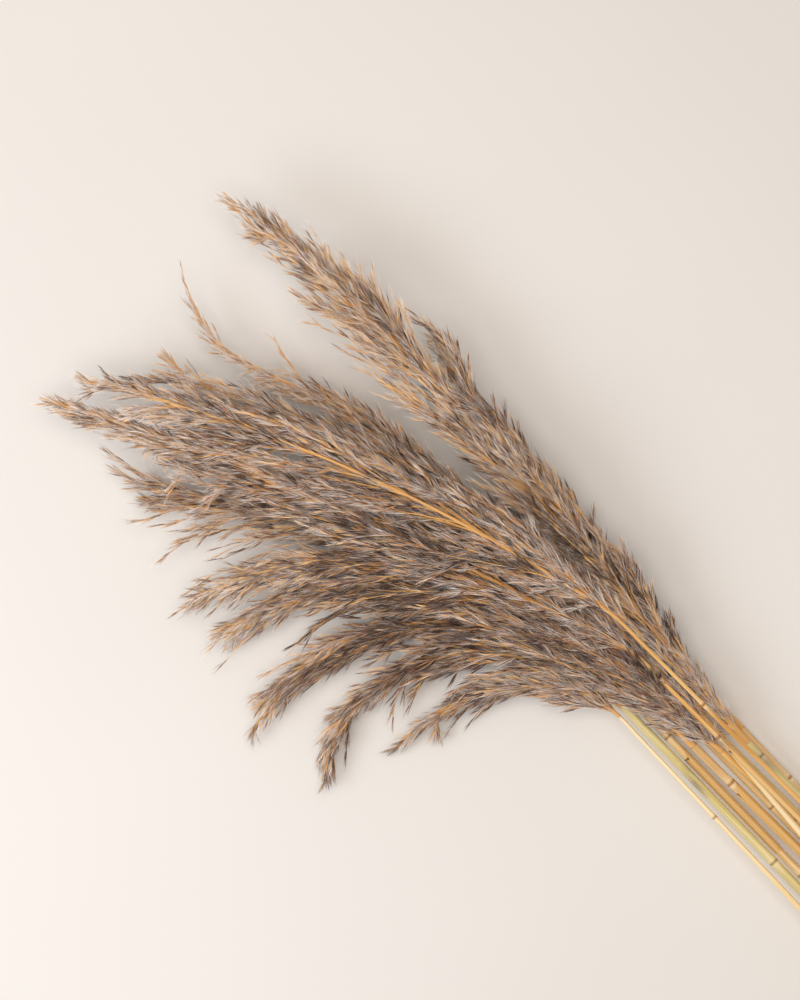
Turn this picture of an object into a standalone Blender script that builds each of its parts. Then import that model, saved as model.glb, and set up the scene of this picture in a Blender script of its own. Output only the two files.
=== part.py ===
# Bundle of twelve cut and dried reed plumes, tied with twine and lying on a flat surface.
#
# +X runs from the cut ends of the stems to the tips of the plumes, +Y to the side that the plumes
# droop to, +Z up. The origin is in the middle of the bundle's footprint, on the surface it lies on.
# A reed is a jointed straw stem and a plume. A plume is a slim core along the reed's stalk, with
# three-sided sprays of spikelets that stand out of it and lie forward, all fused in one body.

import math
from dataclasses import dataclass

import bmesh
import bpy
import numpy as np

MM = 0.001

# The bundle as a whole. Reed positions below are counted from its waist, where the stems are
# spread side by side, and the shift puts the middle of the footprint at the origin.
WAIST_TO_MIDDLE = np.array([40.9, 45.2, 0.0])
WAIST_TO_TIE = 170.0
STRAIGHT_PAST_WAIST = 45.0
STRAIGHT_TO_PLUME = 12.0
TIE_TO_CUT_END = 120.0
CUT_END_SCATTER = 7.0
CUT_END_FAN = 1.12
BODY_GAP = 0.3
SEED = 21
PATH_STEPS = 12
STALK_SPANS = 8
STALK_STEPS = 60
SMOOTH_ANGLE = math.radians(40)

# Stems, in mm.
STEM_SIDES = 7
STEM_WIDTH = 4.6
STEM_HOLLOW = 2.6
HOLLOW_DEPTH = 10.0
JOINT_SPACING = 84.0
JOINT_HALF_LENGTH = 3.5
JOINT_SWELL = 0.2
STRAIGHT_AT_TIE = 8.0

# Twine, in mm.
TWINE_WIDTH = 2.0
TWINE_TURNS = 3
TWINE_CLEARANCE = 0.5
TWINE_PRESSED = 0.2
TWINE_STATIONS = 22
TWINE_GROOVE = 0.55
TWINE_FLAT = 0.38
TAUT_LEAST = 0.1
KNOT_SIZE = (3.6, 4.4, 2.4)
KNOT_CUT = 0.9
KNOT_RINGS = 4
KNOT_SIDES = 7
TWINE_END = ((0.0, 0.0, 0.0), (5.0, 3.0, 1.4), (13.0, 6.0, 1.8), (22.0, 8.0, 0.8))
TWINE_END_STEPS = 3
TWINE_END_RINGS = 6
TWINE_END_SIDES = 5

# How the stems pack at the tie: rows on top of each other, each set half a pitch aside. The lowest
# row lies on the twine, which the bundle's weight has pressed.
TIE_PITCH = 5.0
TIE_ROW_HEIGHT = TIE_PITCH * math.sqrt(3.0) / 2.0
TIE_MIDDLE_Y = -2.0
TIE_LOWEST = STEM_WIDTH / 2.0 + TWINE_CLEARANCE + TWINE_WIDTH - TWINE_PRESSED
TIE_HOLD = 12.0
CUT_END_LOWEST = STEM_WIDTH / 2.0 + 0.02

# Plumes, in mm. The core's first rings are close together, where it is as thick as the stem.
CORE_SIDES = 6
CORE_RINGS = 9
CORE_FIRST_SPAN = 0.05
CORE_BULGE = 1.3
CORE_TIP_RADIUS = 1.1
# How thick a plume is along its stalk: the place as a share of its length, and the share of its girth.
PLUME_PLACES = (0.0, 0.15, 0.35, 0.6, 0.8, 0.92, 1.0)
PLUME_GIRTHS = (0.3, 0.6, 1.0, 0.92, 0.72, 0.42, 0.1)

# Sprays, in mm. Places and draws are shares of the stalk's length, the spray's length and its reach.
SPRAYS = 29
SPRAY_SIDES = 3
SPRAY_LONG = 68.0
SPRAY_SHORT = 30.0
SPRAY_WIDTH = 6.4
SPRAY_HUG = 1.4
SPRAY_STATIONS = (0.0, 0.4, 0.75, 1.0)
SPRAY_HALF_WIDTHS = (0.22, 0.5, 0.4, 0.0)
FIRST_SPRAY = 0.02
SPRAY_SPREAD = 0.94
SPRAY_CROWDING = 0.95
FULL_SPRAY_STALK = 230.0
PAST_TIP = 3.0
LENGTH_DRAW = (0.85, 1.1)
REACH_DRAW = (0.85, 1.1)
AZIMUTH_DRAW = (-0.2, 0.2)
GOLDEN_ANGLE = math.radians(137.508)

# How sprays keep clear of other reeds: they are tried shorter and turned aside until one fits.
TEST_STATIONS = (0.2, 0.3, 0.4, 0.5, 0.65, 0.75, 0.9, 1.0)
REACH_TRIES = (1.0, 0.85, 0.7, 0.56, 0.44, 0.34)
AZIMUTH_TRIES = (0.0, 0.45, -0.45, 0.9, -0.9)
WALL_GAP = 0.8
SUNK_SHARE = 0.2

# Fusing: points this close are one, and what reaches below the surface is cut away. In mm.
WELD = 0.002
LEVEL_SLACK = 0.01
SLAB_REACH = 500.0
SLAB_DEPTH = 50.0


@dataclass
class Reed:
    """One reed, in mm from the waist. Headings are degrees from +X towards +Y."""

    tie_row: int            # row in the tie, from below
    tie_place: float        # pitches from the middle of the tie towards +Y
    waist: tuple            # y, z where the stem passes the waist
    base: tuple             # x, y, z where the stem ends and the plume starts
    width: float            # of the stem at the plume
    joint: float            # from the plume down to the stem's uppermost joint
    length: float           # of the plume's stalk
    heading: tuple          # at the plume's base and at its tip
    late: float             # 1 turns evenly, more keeps the turn for the tip
    tip_z: float
    arch: float             # rise of the stalk's middle over a straight line
    girth: float            # radius of the plume where it is fullest


REEDS = (
    Reed(2, 1.0, (17.0, 15.5), (94, 14.3, 16), 2.0, 60, 106, (-9, 88), 0.6, 8, 2, 8),
    Reed(1, 1.5, (11.6, 8.6), (96, 10.0, 10), 3.8, 95, 166, (12, 132), 1.5, 9, 3, 14),
    Reed(0, 1.0, (6.6, 4.0), (86, 5.5, 6), 3.4, 14, 203, (4, 111), 1.4, 9, 6, 16),
    Reed(1, 0.5, (0.0, 8.8), (62, 0.5, 13), 3.6, 23, 236, (-1, 80), 1.4, 15, 9, 17),
    Reed(1, -0.5, (-9.0, 12.3), (52, -6.5, 17), 2.6, 44, 262, (4, 78), 1.8, 22, 16, 18),
    Reed(0, 0.0, (-4.8, 4.5), (66, -5.0, 7), 2.8, 48, 273, (-10, 45), 0.7, 12, 5, 18),
    Reed(3, 0.5, (-9.5, 25.0), (107, -9.5, 33), 2.6, 48, 282, (16, 27), 1.0, 28, 12, 17),
    Reed(3, -0.5, (-15.0, 27.0), (126, -14.5, 43), 2.4, 52, 256, (10, 32), 1.0, 40, 16, 17),
    Reed(2, 0.0, (-5.5, 16.0), (56, -10.0, 23), 2.8, 65, 298, (-5, 29), 1.0, 28, 6, 17),
    Reed(0, -1.0, (-11.0, 5.6), (62, -11.0, 12), 2.8, 58, 259, (2, 26), 3.5, 20, 2, 13),
    Reed(2, -1.0, (-16.5, 16.5), (47, -17.0, 18), 3.0, 8, 329, (-5, 8), 2.5, 34, 8, 18),
    Reed(1, -1.5, (-18.5, 6.5), (52, -20.0, 8), 2.8, 30, 219, (4, -12), 0.5, 14, 5, 12),
)


def smooth_path(points, steps):
    """A smooth curve through the points, with that many steps from one point to the next."""
    points = np.array(points, dtype=float)
    before = 2.0 * points[0] - points[1]
    after = 2.0 * points[-1] - points[-2]
    padded = np.vstack([before, points, after])
    curve = []
    for i in range(1, len(padded) - 2):
        span = np.linalg.norm(padded[i + 1] - padded[i])
        lean_in = lean(padded, i) * span
        lean_out = lean(padded, i + 1) * span
        for t in np.arange(steps) / steps:
            start = padded[i] * (2 * t**3 - 3 * t**2 + 1) + lean_in * (t**3 - 2 * t**2 + t)
            end = padded[i + 1] * (3 * t**2 - 2 * t**3) + lean_out * (t**3 - t**2)
            curve.append(start + end)
    curve.append(points[-1])
    return np.array(curve)


def lean(points, i):
    """Which way the curve passes point i: from the one before to the one after, per mm."""
    step_in = np.linalg.norm(points[i] - points[i - 1])
    step_out = np.linalg.norm(points[i + 1] - points[i])
    slope_in = (points[i] - points[i - 1]) / step_in
    slope_out = (points[i + 1] - points[i]) / step_out
    return (slope_in * step_out + slope_out * step_in) / (step_in + step_out)


def stalk_points(reed):
    """Points along the plume's stalk, which turns from its first heading to its last."""
    along = (np.arange(STALK_STEPS) + 0.5) / STALK_STEPS
    turn = reed.heading[1] - reed.heading[0]
    heading = np.radians(reed.heading[0] + turn * along**reed.late)
    step = reed.length / STALK_STEPS
    x = reed.base[0] + np.concatenate([[0.0], np.cumsum(np.cos(heading) * step)])
    y = reed.base[1] + np.concatenate([[0.0], np.cumsum(np.sin(heading) * step)])
    share = np.arange(STALK_STEPS + 1) / STALK_STEPS
    rise = (reed.tip_z - reed.base[2]) * share + reed.arch * np.sin(math.pi * share)
    stalk = np.stack([x, y, reed.base[2] + rise], axis=1)
    keep = np.linspace(0, STALK_STEPS, STALK_SPANS + 1).round().astype(int)
    return stalk[keep]


def tie_point(reed):
    """Where the reed's stem passes through the tie."""
    y = TIE_MIDDLE_Y + reed.tie_place * TIE_PITCH
    z = TIE_LOWEST + reed.tie_row * TIE_ROW_HEIGHT
    return np.array([-WAIST_TO_TIE, y, z])


def cut_end(reed, index):
    """The stem's cut end. The stems lie a little wider there, and not quite level."""
    scatter = CUT_END_SCATTER * math.sin(2.4 * index)
    y = TIE_MIDDLE_Y + reed.tie_place * TIE_PITCH * CUT_END_FAN
    z = CUT_END_LOWEST + reed.tie_row * TIE_ROW_HEIGHT * CUT_END_FAN
    return np.array([-WAIST_TO_TIE - TIE_TO_CUT_END - scatter, y, z])


def straight_points(reed):
    """Points along the stem's straight part: where it bends to the tie, the waist, near the plume."""
    waist = np.array([0.0, *reed.waist])
    slope = (np.array(reed.base) - waist) / reed.base[0]
    bend = waist - slope * STRAIGHT_PAST_WAIST
    bend[2] = waist[2] + (tie_point(reed)[2] - waist[2]) * STRAIGHT_PAST_WAIST / WAIST_TO_TIE
    return [bend, waist, np.array(reed.base) - slope * STRAIGHT_TO_PLUME]


def reed_paths(reed, index):
    """The reed's middle line, cut where its plume starts: the stem's part and the stalk's part."""
    along_tie = np.array([TIE_HOLD, 0.0, 0.0])
    points = [cut_end(reed, index), tie_point(reed) - along_tie, tie_point(reed) + along_tie]
    points.extend(straight_points(reed))
    stem_spans = len(points)
    points.extend(stalk_points(reed))
    curve = smooth_path(points, PATH_STEPS) - WAIST_TO_MIDDLE
    join = stem_spans * PATH_STEPS
    return curve[:join + 1], curve[join:]


class Line:
    """A path that can be read at any distance along it, and past its end."""

    def __init__(self, points):
        self.points = points
        steps = np.linalg.norm(np.diff(points, axis=0), axis=1)
        self.far = np.concatenate([[0.0], np.cumsum(steps)])
        self.length = self.far[-1]

    def at(self, distance):
        if distance > self.length:
            return self.points[-1] + self.ahead(self.length) * (distance - self.length)
        return np.array([np.interp(distance, self.far, self.points[:, k]) for k in range(3)])

    def ahead(self, distance):
        back = min(max(distance, 0.0), self.length - 1.0)
        return unit(self.at(back + 1.0) - self.at(back))

    def across(self, distance):
        """Two directions square to the path: to its left, and up."""
        ahead = self.ahead(distance)
        left = unit(np.cross([0.0, 0.0, 1.0], ahead))
        return left, np.cross(ahead, left)

    def away(self, point):
        """How far the point is from the path."""
        return np.sqrt(((self.points - point) ** 2).sum(axis=1).min())


def unit(vector):
    return vector / np.linalg.norm(vector)


def finish(name, srgb, roughness):
    """A plain material in the colour that the piece has."""
    material = bpy.data.materials.new(name)
    material.use_nodes = True
    linear = [((c / 255 + 0.055) / 1.055) ** 2.4 if c > 10 else c / 255 / 12.92 for c in srgb]
    shader = material.node_tree.nodes["Principled BSDF"]
    shader.inputs["Base Color"].default_value = (*linear, 1.0)
    shader.inputs["Roughness"].default_value = roughness
    shader.inputs["Metallic"].default_value = 0.0
    material.diffuse_color = (*linear, 1.0)
    return material


def add_object(name, verts, faces, material, smooth=False):
    """An object with this mesh, given in mm."""
    mesh = bpy.data.meshes.new(name)
    mesh.from_pydata([tuple(v * MM) for v in np.array(verts)], [], faces)
    mesh.materials.append(material)
    body = bpy.data.objects.new(name, mesh)
    bpy.context.scene.collection.objects.link(body)
    if smooth:
        mesh.shade_smooth()
        mesh.set_sharp_from_angle(angle=SMOOTH_ANGLE)
    return body


def skin(rings, first_cap=True, last_cap=True):
    """Faces that join rings of equally many points, and close the ends."""
    verts = [point for ring in rings for point in ring]
    count = len(rings[0])
    faces = []
    for r in range(len(rings) - 1):
        for k in range(count):
            low = r * count + k
            low_next = r * count + (k + 1) % count
            faces.append((low, low_next, low_next + count, low + count))
    if first_cap:
        faces.append(tuple(reversed(range(count))))
    if last_cap:
        faces.append(tuple(range(len(verts) - count, len(verts))))
    return verts, faces


def ring_about(line, distance, radius, sides, turned=0.0):
    """Points round the path, in a plane square to it."""
    middle = line.at(distance)
    left, up = line.across(distance)
    angles = turned + 2.0 * math.pi * np.arange(sides) / sides
    return [middle + radius * (math.cos(a) * left + math.sin(a) * up) for a in angles]


def stem_radius(reed, line, distance):
    """A stem keeps its width to the tie, then narrows to its plume."""
    from_tie = max(0.0, distance - TIE_TO_CUT_END) / (line.length - TIE_TO_CUT_END)
    return (STEM_WIDTH + (reed.width - STEM_WIDTH) * from_tie) / 2.0


def build_stem(reed, line, name, material):
    """A jointed tube, hollow at its cut end, that stops short of the plume."""
    end = line.length - BODY_GAP / 2.0
    joints = np.arange(end - reed.joint, 2.0 * HOLLOW_DEPTH, -JOINT_SPACING)
    stations = {0.0: 0.0, end: 0.0}
    for side in (-1.0, 1.0):
        stations[TIE_TO_CUT_END + side * STRAIGHT_AT_TIE] = 0.0
    for joint in joints:
        stations[joint - JOINT_HALF_LENGTH] = 0.0
        stations[joint] = JOINT_SWELL
        stations[joint + JOINT_HALF_LENGTH] = 0.0
    rings = [
        ring_about(line, HOLLOW_DEPTH, STEM_HOLLOW / 2.0, STEM_SIDES),
        ring_about(line, 0.0, STEM_HOLLOW / 2.0, STEM_SIDES),
    ]
    for distance in sorted(stations):
        radius = stem_radius(reed, line, distance) + stations[distance]
        rings.append(ring_about(line, distance, radius, STEM_SIDES))
    verts, faces = skin(rings)
    return add_object(name, verts, faces, material, smooth=True)


def core_radius(reed, share):
    """The core starts as wide as the stem, swells a little and thins to the tip."""
    straight = reed.width / 2.0 + (CORE_TIP_RADIUS - reed.width / 2.0) * share
    return straight + CORE_BULGE * math.sin(math.pi * share) * (1.0 - share)


def build_core(reed, line, material):
    shares = [0.0, *np.linspace(CORE_FIRST_SPAN, 1.0, CORE_RINGS)]
    rings = []
    for share in shares:
        distance = max(share * line.length, BODY_GAP / 2.0)
        rings.append(ring_about(line, distance, core_radius(reed, share), CORE_SIDES))
    verts, faces = skin(rings)
    return add_object("core", verts, faces, material)


def plume_girth(reed, share):
    """Slim at the base, fullest a third of the way up, and pointed at the tip."""
    return reed.girth * np.interp(share, PLUME_PLACES, PLUME_GIRTHS)


class Walls:
    """What a plume's sprays stay clear of: other plumes, all stems and the surface below."""

    def __init__(self, index, stalks, stems):
        self.own = stalks[index]
        self.others = [s for k, s in enumerate(stalks) if k != index]
        self.stems = stems

    def clear(self, point, half_width):
        if point[2] < half_width * SUNK_SHARE:
            return False
        own = self.own.away(point)
        rival = min(other.away(point) for other in self.others)
        if rival - own < 2.0 * half_width + WALL_GAP:
            return False
        for reed, stem in zip(REEDS, self.stems):
            if stem.away(point) < STEM_WIDTH / 2.0 + JOINT_SWELL + half_width + WALL_GAP / 2.0:
                return False
        return True


def spray_points(line, start, length, reach, azimuth, stations):
    """Points along a spray, which leaves the stalk and bends to lie along it."""
    points = []
    for part in stations:
        distance = start + length * part
        left, up = line.across(min(distance, line.length))
        offset = reach * math.sin(0.5 * math.pi * part) ** SPRAY_HUG
        outward = math.cos(azimuth) * left + math.sin(azimuth) * up
        points.append(line.at(distance) + offset * outward)
    return points


def fit_spray(line, walls, start, length, reach, azimuth):
    """The widest spray near this azimuth that stays clear of the walls, or nothing."""
    widths = np.interp(TEST_STATIONS, SPRAY_STATIONS, SPRAY_HALF_WIDTHS) * SPRAY_WIDTH
    for share in REACH_TRIES:
        for turned in AZIMUTH_TRIES:
            shape = (line, start, length, reach * share, azimuth + turned)
            tested = spray_points(*shape, TEST_STATIONS)
            if all(walls.clear(point, width) for point, width in zip(tested, widths)):
                return spray_points(*shape, SPRAY_STATIONS)
    return None


def build_spray(points, material):
    """A three-sided spray, widest before its middle and pointed at the tip."""
    line = Line(np.array(points))
    rings = []
    for distance, half in zip(line.far[:-1], SPRAY_HALF_WIDTHS[:-1]):
        rings.append(ring_about(line, distance, half * SPRAY_WIDTH, SPRAY_SIDES, math.pi / 2.0))
    verts, faces = skin(rings, last_cap=False)
    tip = len(verts)
    verts.append(points[-1])
    last_ring = tip - SPRAY_SIDES
    for k in range(SPRAY_SIDES):
        faces.append((last_ring + k, last_ring + (k + 1) % SPRAY_SIDES, tip))
    return add_object("spray", verts, faces, material)


def apply_boolean(body, operation, pieces):
    """Joins the pieces to the body, or cuts them from it, in one Boolean, and removes them."""
    used = bpy.data.collections.new("used")
    bpy.context.scene.collection.children.link(used)
    for piece in pieces:
        bpy.context.scene.collection.objects.unlink(piece)
        used.objects.link(piece)
    modifier = body.modifiers.new("boolean", "BOOLEAN")
    modifier.operation = operation
    modifier.operand_type = "COLLECTION"
    modifier.collection = used
    evaluated = body.evaluated_get(bpy.context.evaluated_depsgraph_get())
    result = bpy.data.meshes.new_from_object(evaluated)
    body.modifiers.clear()
    body.data = result
    for piece in pieces:
        bpy.data.objects.remove(piece)
    bpy.data.collections.remove(used)


def keep_largest_shell(body):
    """Welds points that coincide, drops loose scraps and fills hollows that fusing has sealed."""
    work = bmesh.new()
    work.from_mesh(body.data)
    bmesh.ops.remove_doubles(work, verts=work.verts, dist=WELD * MM)
    shells = []
    seen = set()
    for first in work.faces:
        if first in seen:
            continue
        seen.add(first)
        shell = [first]
        for face in shell:
            for edge in face.edges:
                for other in edge.link_faces:
                    if other not in seen:
                        seen.add(other)
                        shell.append(other)
        shells.append(shell)
    shells.sort(key=len)
    for shell in shells[:-1]:
        bmesh.ops.delete(work, geom=shell, context="FACES")
    work.to_mesh(body.data)
    work.free()


def build_plume(reed, index, stalks, stems, name, material):
    """The core and its sprays, fused, with a flat spot where the plume lies on the surface."""
    line = stalks[index]
    walls = Walls(index, stalks, stems)
    draws = np.random.default_rng(SEED + index)
    sprays = []
    for k in range(SPRAYS):
        share = FIRST_SPRAY + SPRAY_SPREAD * (k / (SPRAYS - 1)) ** SPRAY_CROWDING
        length = SPRAY_LONG + (SPRAY_SHORT - SPRAY_LONG) * share
        length *= draws.uniform(*LENGTH_DRAW) * min(1.0, reed.length / FULL_SPRAY_STALK)
        length = min(length, line.length * (1.0 - share) + PAST_TIP)
        reach = plume_girth(reed, share + length / line.length) * draws.uniform(*REACH_DRAW)
        azimuth = k * GOLDEN_ANGLE + draws.uniform(*AZIMUTH_DRAW)
        points = fit_spray(line, walls, share * line.length, length, reach, azimuth)
        if points is not None:
            sprays.append(build_spray(points, material))
    body = build_core(reed, line, material)
    body.name = name
    apply_boolean(body, "UNION", sprays)
    cut_level(body, material)
    keep_largest_shell(body)


def tie_outline(angles):
    """The tie's middle, and how far a taut string round the stems is from it at these angles."""
    centres = np.array([tie_point(reed) for reed in REEDS])
    middle = centres.mean(axis=0)
    pulls = np.radians(np.arange(360))
    pull_ways = np.stack([np.cos(pulls), np.sin(pulls)])
    held = ((centres - middle)[:, 1:] @ pull_ways).max(axis=0)
    held += STEM_WIDTH / 2.0 + TWINE_CLEARANCE
    facing = np.maximum(np.cos(angles[:, None] - pulls[None, :]), TAUT_LEAST)
    return middle - WAIST_TO_MIDDLE, (held / facing).min(axis=1)


def twine_profile():
    """Across the turns, as distance along the stems and height: flat-topped, with grooves."""
    half = TWINE_TURNS * TWINE_WIDTH / 2.0
    profile = [(-half, 0.0), (-half, TWINE_GROOVE * TWINE_WIDTH)]
    for turn in range(TWINE_TURNS):
        middle = (turn + 0.5) * TWINE_WIDTH - half
        profile.append((middle - TWINE_FLAT * TWINE_WIDTH, TWINE_WIDTH))
        profile.append((middle + TWINE_FLAT * TWINE_WIDTH, TWINE_WIDTH))
        profile.append((middle + 0.5 * TWINE_WIDTH, TWINE_GROOVE * TWINE_WIDTH))
    profile.append((half, 0.0))
    return profile


def build_turns(material):
    """The turns of twine round the stems, fused side by side and pressed flat below."""
    angles = 2.0 * math.pi * (np.arange(TWINE_STATIONS) + 0.5) / TWINE_STATIONS
    middle, reach = tie_outline(angles)
    rings = []
    for angle, inner in zip(angles, reach):
        ring = []
        for along, height in twine_profile():
            across = (inner + height) * np.array([math.cos(angle), math.sin(angle)])
            z = max(middle[2] + across[1], 0.0)
            ring.append(np.array([middle[0] + along, middle[1] + across[0], z]))
        rings.append(ring)
    verts, faces = skin([*rings, rings[0]], first_cap=False, last_cap=False)
    verts = verts[:-len(rings[0])]
    faces = [tuple(vert % len(verts) for vert in reversed(face)) for face in faces]
    return add_object("twine_tie", verts, faces, material, smooth=True)


def build_knot(place, material):
    """The knot, a round lump cut off square at both ends."""
    rings = []
    for level in np.linspace(-KNOT_CUT, KNOT_CUT, KNOT_RINGS):
        width = math.sqrt(1.0 - level**2)
        ring = []
        for angle in 2.0 * math.pi * np.arange(KNOT_SIDES) / KNOT_SIDES:
            point = (level, width * math.cos(angle), width * math.sin(angle))
            ring.append(place + np.array(point) * KNOT_SIZE)
        rings.append(ring)
    verts, faces = skin(rings)
    return add_object("knot", verts, faces, material)


def build_twine_end(place, side, material):
    """One of the two ends of the twine that the knot leaves."""
    bends = [place + np.array(bend) * (side, side, 1.0) for bend in TWINE_END]
    line = Line(smooth_path(bends, TWINE_END_STEPS))
    stations = np.linspace(0.0, line.length, TWINE_END_RINGS)
    rings = []
    for distance in stations:
        rings.append(ring_about(line, distance, TWINE_WIDTH / 2.0, TWINE_END_SIDES))
    verts, faces = skin(rings)
    return add_object("end", verts, faces, material)


def build_tie(material):
    """Turns of twine round the stems, with a knot and two ends on top."""
    body = build_turns(material)
    middle, reach = tie_outline(np.array([math.pi / 2.0]))
    top = middle + np.array([0.0, 0.0, reach[0] + TWINE_WIDTH])
    pieces = [build_knot(top, material)]
    for side in (1.0, -1.0):
        pieces.append(build_twine_end(top, side, material))
    apply_boolean(body, "UNION", pieces)
    keep_largest_shell(body)


def cut_level(body, material):
    """Cuts away what reaches below the surface that the bundle lies on."""
    lowest = min(vert.co.z for vert in body.data.vertices)
    if lowest > -LEVEL_SLACK * MM:
        return
    corners = ((-1.0, -1.0), (1.0, -1.0), (1.0, 1.0), (-1.0, 1.0))
    rings = []
    for z in (-SLAB_DEPTH, 0.0):
        rings.append([(x * SLAB_REACH, y * SLAB_REACH, z) for x, y in corners])
    verts, faces = skin(rings)
    apply_boolean(body, "DIFFERENCE", [add_object("slab", verts, faces, material)])


def clear_scene():
    for old in list(bpy.data.objects):
        bpy.data.objects.remove(old)


clear_scene()
straw = finish("straw_stem", (214, 166, 92), 0.55)
plume_fibre = finish("plume_fibre", (140, 112, 92), 0.85)
jute = finish("jute_twine", (176, 140, 96), 0.9)

stem_lines = []
stalk_lines = []
for index, reed in enumerate(REEDS):
    stem_path, stalk_path = reed_paths(reed, index)
    stem_lines.append(Line(stem_path))
    stalk_lines.append(Line(stalk_path))

for index, reed in enumerate(REEDS):
    number = f"{index + 1:02d}"
    build_stem(reed, stem_lines[index], f"stem_{number}", straw)
    build_plume(reed, index, stalk_lines, stem_lines, f"plume_{number}", plume_fibre)
build_tie(jute)
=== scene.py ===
import math
from collections import namedtuple

import bpy
import numpy as np
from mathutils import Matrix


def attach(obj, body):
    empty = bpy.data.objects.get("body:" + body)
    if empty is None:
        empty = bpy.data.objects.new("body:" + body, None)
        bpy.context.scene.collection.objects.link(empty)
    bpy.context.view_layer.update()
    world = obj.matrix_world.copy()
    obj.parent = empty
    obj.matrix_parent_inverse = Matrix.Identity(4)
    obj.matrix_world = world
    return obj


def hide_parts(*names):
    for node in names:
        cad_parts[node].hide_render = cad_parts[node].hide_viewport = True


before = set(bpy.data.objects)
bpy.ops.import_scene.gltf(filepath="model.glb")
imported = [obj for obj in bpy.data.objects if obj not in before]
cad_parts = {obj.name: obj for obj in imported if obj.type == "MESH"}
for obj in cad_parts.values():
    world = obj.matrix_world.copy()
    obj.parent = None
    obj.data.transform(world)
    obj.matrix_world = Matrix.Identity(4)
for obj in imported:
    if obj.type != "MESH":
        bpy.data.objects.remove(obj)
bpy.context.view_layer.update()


# Camera
# It looks straight down on the bundle, which lies with its stems running out of the picture at the
# lower right. Picture right and picture up are level directions on the floor.
# All lengths are in mm, and MM turns them into metres.
MM = 0.001
PICTURE_CENTRE = np.array([187.1, -30.0, 30.0])
PICTURE_HEIGHT = 430.0
PICTURE_TURN = math.radians(-135.0)
CAMERA_HEIGHT = 1400.0
SENSOR_LONG_SIDE = 36.0
FARTHEST_SEEN = 20000.0

camera_data = bpy.data.cameras.new("camera")
camera_data.sensor_width = SENSOR_LONG_SIDE
camera_data.sensor_fit = "AUTO"
camera_data.lens = SENSOR_LONG_SIDE * (CAMERA_HEIGHT - PICTURE_CENTRE[2]) / PICTURE_HEIGHT
camera_data.clip_end = FARTHEST_SEEN * MM
camera = bpy.data.objects.new("camera", camera_data)
camera.location = (PICTURE_CENTRE[0] * MM, PICTURE_CENTRE[1] * MM, CAMERA_HEIGHT * MM)
camera.rotation_euler = (0.0, 0.0, PICTURE_TURN)
bpy.context.scene.collection.objects.link(camera)
bpy.context.scene.camera = camera
picture_right = np.array([math.cos(PICTURE_TURN), math.sin(PICTURE_TURN), 0.0])
picture_up = np.array([-math.sin(PICTURE_TURN), math.cos(PICTURE_TURN), 0.0])


# Floor and light
# A sheet of white studio paper. A large soft lamp hangs over the bundle, a smaller one stands low at
# picture left, and the bright room fills the shadows, so they are faint.
PAPER_SIZE = 6000.0
PAPER_LIGHT = "E7E7E5"
PAPER_SHADE = "E2E2E0"
PAPER_CLOUD = 333.0


def srgb(hex_colour):
    """An sRGB hex colour as linear RGBA."""
    parts = [int(hex_colour[k:k + 2], 16) / 255.0 for k in (0, 2, 4)]
    return (*(c / 12.92 if c < 0.04045 else ((c + 0.055) / 1.055) ** 2.4 for c in parts), 1.0)


def add_node(tree, kind, links=(), stops=(), **settings):
    """Adds a node. Settings are its properties, and links are its inputs, each with the output or the
    value that it gets. Stops are a colour ramp's, each a place from 0 to 1 and an sRGB hex colour."""
    node = tree.nodes.new(kind)
    for name, value in settings.items():
        setattr(node, name, value)
    for socket, source in links:
        if isinstance(source, bpy.types.NodeSocket):
            tree.links.new(source, node.inputs[socket])
        else:
            node.inputs[socket].default_value = source
    if stops:
        elements = node.color_ramp.elements
        while len(elements) < len(stops):
            elements.new(0.5)
        for element, (place, colour) in zip(elements, stops):
            element.position = place
            element.color = srgb(colour)
    return node


def new_material(name, values):
    """A material whose principled shader has these values, the same all over, on its own sockets."""
    material = bpy.data.materials.new(name)
    material.use_nodes = True
    shader = material.node_tree.nodes["Principled BSDF"]
    for socket, value in values.items():
        shader.inputs[socket].default_value = value
    return material, material.node_tree, shader


def mesh_object(name, points, faces, material, smooth=True):
    """An object from points in mm and faces that all have three or all have four corners."""
    points = np.asarray(points, np.float32) * MM
    faces = np.asarray(faces, np.int32)
    corners = faces.shape[1]
    mesh = bpy.data.meshes.new(name)
    mesh.vertices.add(len(points))
    mesh.vertices.foreach_set("co", points.ravel())
    mesh.loops.add(faces.size)
    mesh.loops.foreach_set("vertex_index", faces.ravel())
    mesh.polygons.add(len(faces))
    mesh.polygons.foreach_set("loop_start", np.arange(0, faces.size, corners, dtype=np.int32))
    mesh.polygons.foreach_set("use_smooth", np.full(len(faces), smooth))
    mesh.update(calc_edges=True)
    mesh.materials.append(material)
    piece = bpy.data.objects.new(name, mesh)
    bpy.context.scene.collection.objects.link(piece)
    return piece


# Matt uncoated paper: it has no gloss, and its white hardly varies, in broad faint clouds.
paper, tree, shader = new_material("studio_paper_matt", {"Roughness": 0.9})
place = add_node(tree, "ShaderNodeTexCoord").outputs["Object"]
clouds = add_node(tree, "ShaderNodeTexNoise", [("Vector", place), ("Scale", 1.0 / (PAPER_CLOUD * MM))])
paper_tones = [(0.3, PAPER_SHADE), (0.7, PAPER_LIGHT)]
tint = add_node(tree, "ShaderNodeValToRGB", [("Fac", clouds.outputs["Fac"])], paper_tones)
tree.links.new(tint.outputs["Color"], shader.inputs["Base Color"])
half = PAPER_SIZE / 2.0
sheet_corners = [(-half, -half, 0.0), (half, -half, 0.0), (half, half, 0.0), (-half, half, 0.0)]
floor = mesh_object("studio_floor", sheet_corners, [(0, 1, 2, 3)], paper, smooth=False)

ROOM_COLOUR = "FFF6EE"
ROOM_STRENGTH = 0.4

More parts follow.
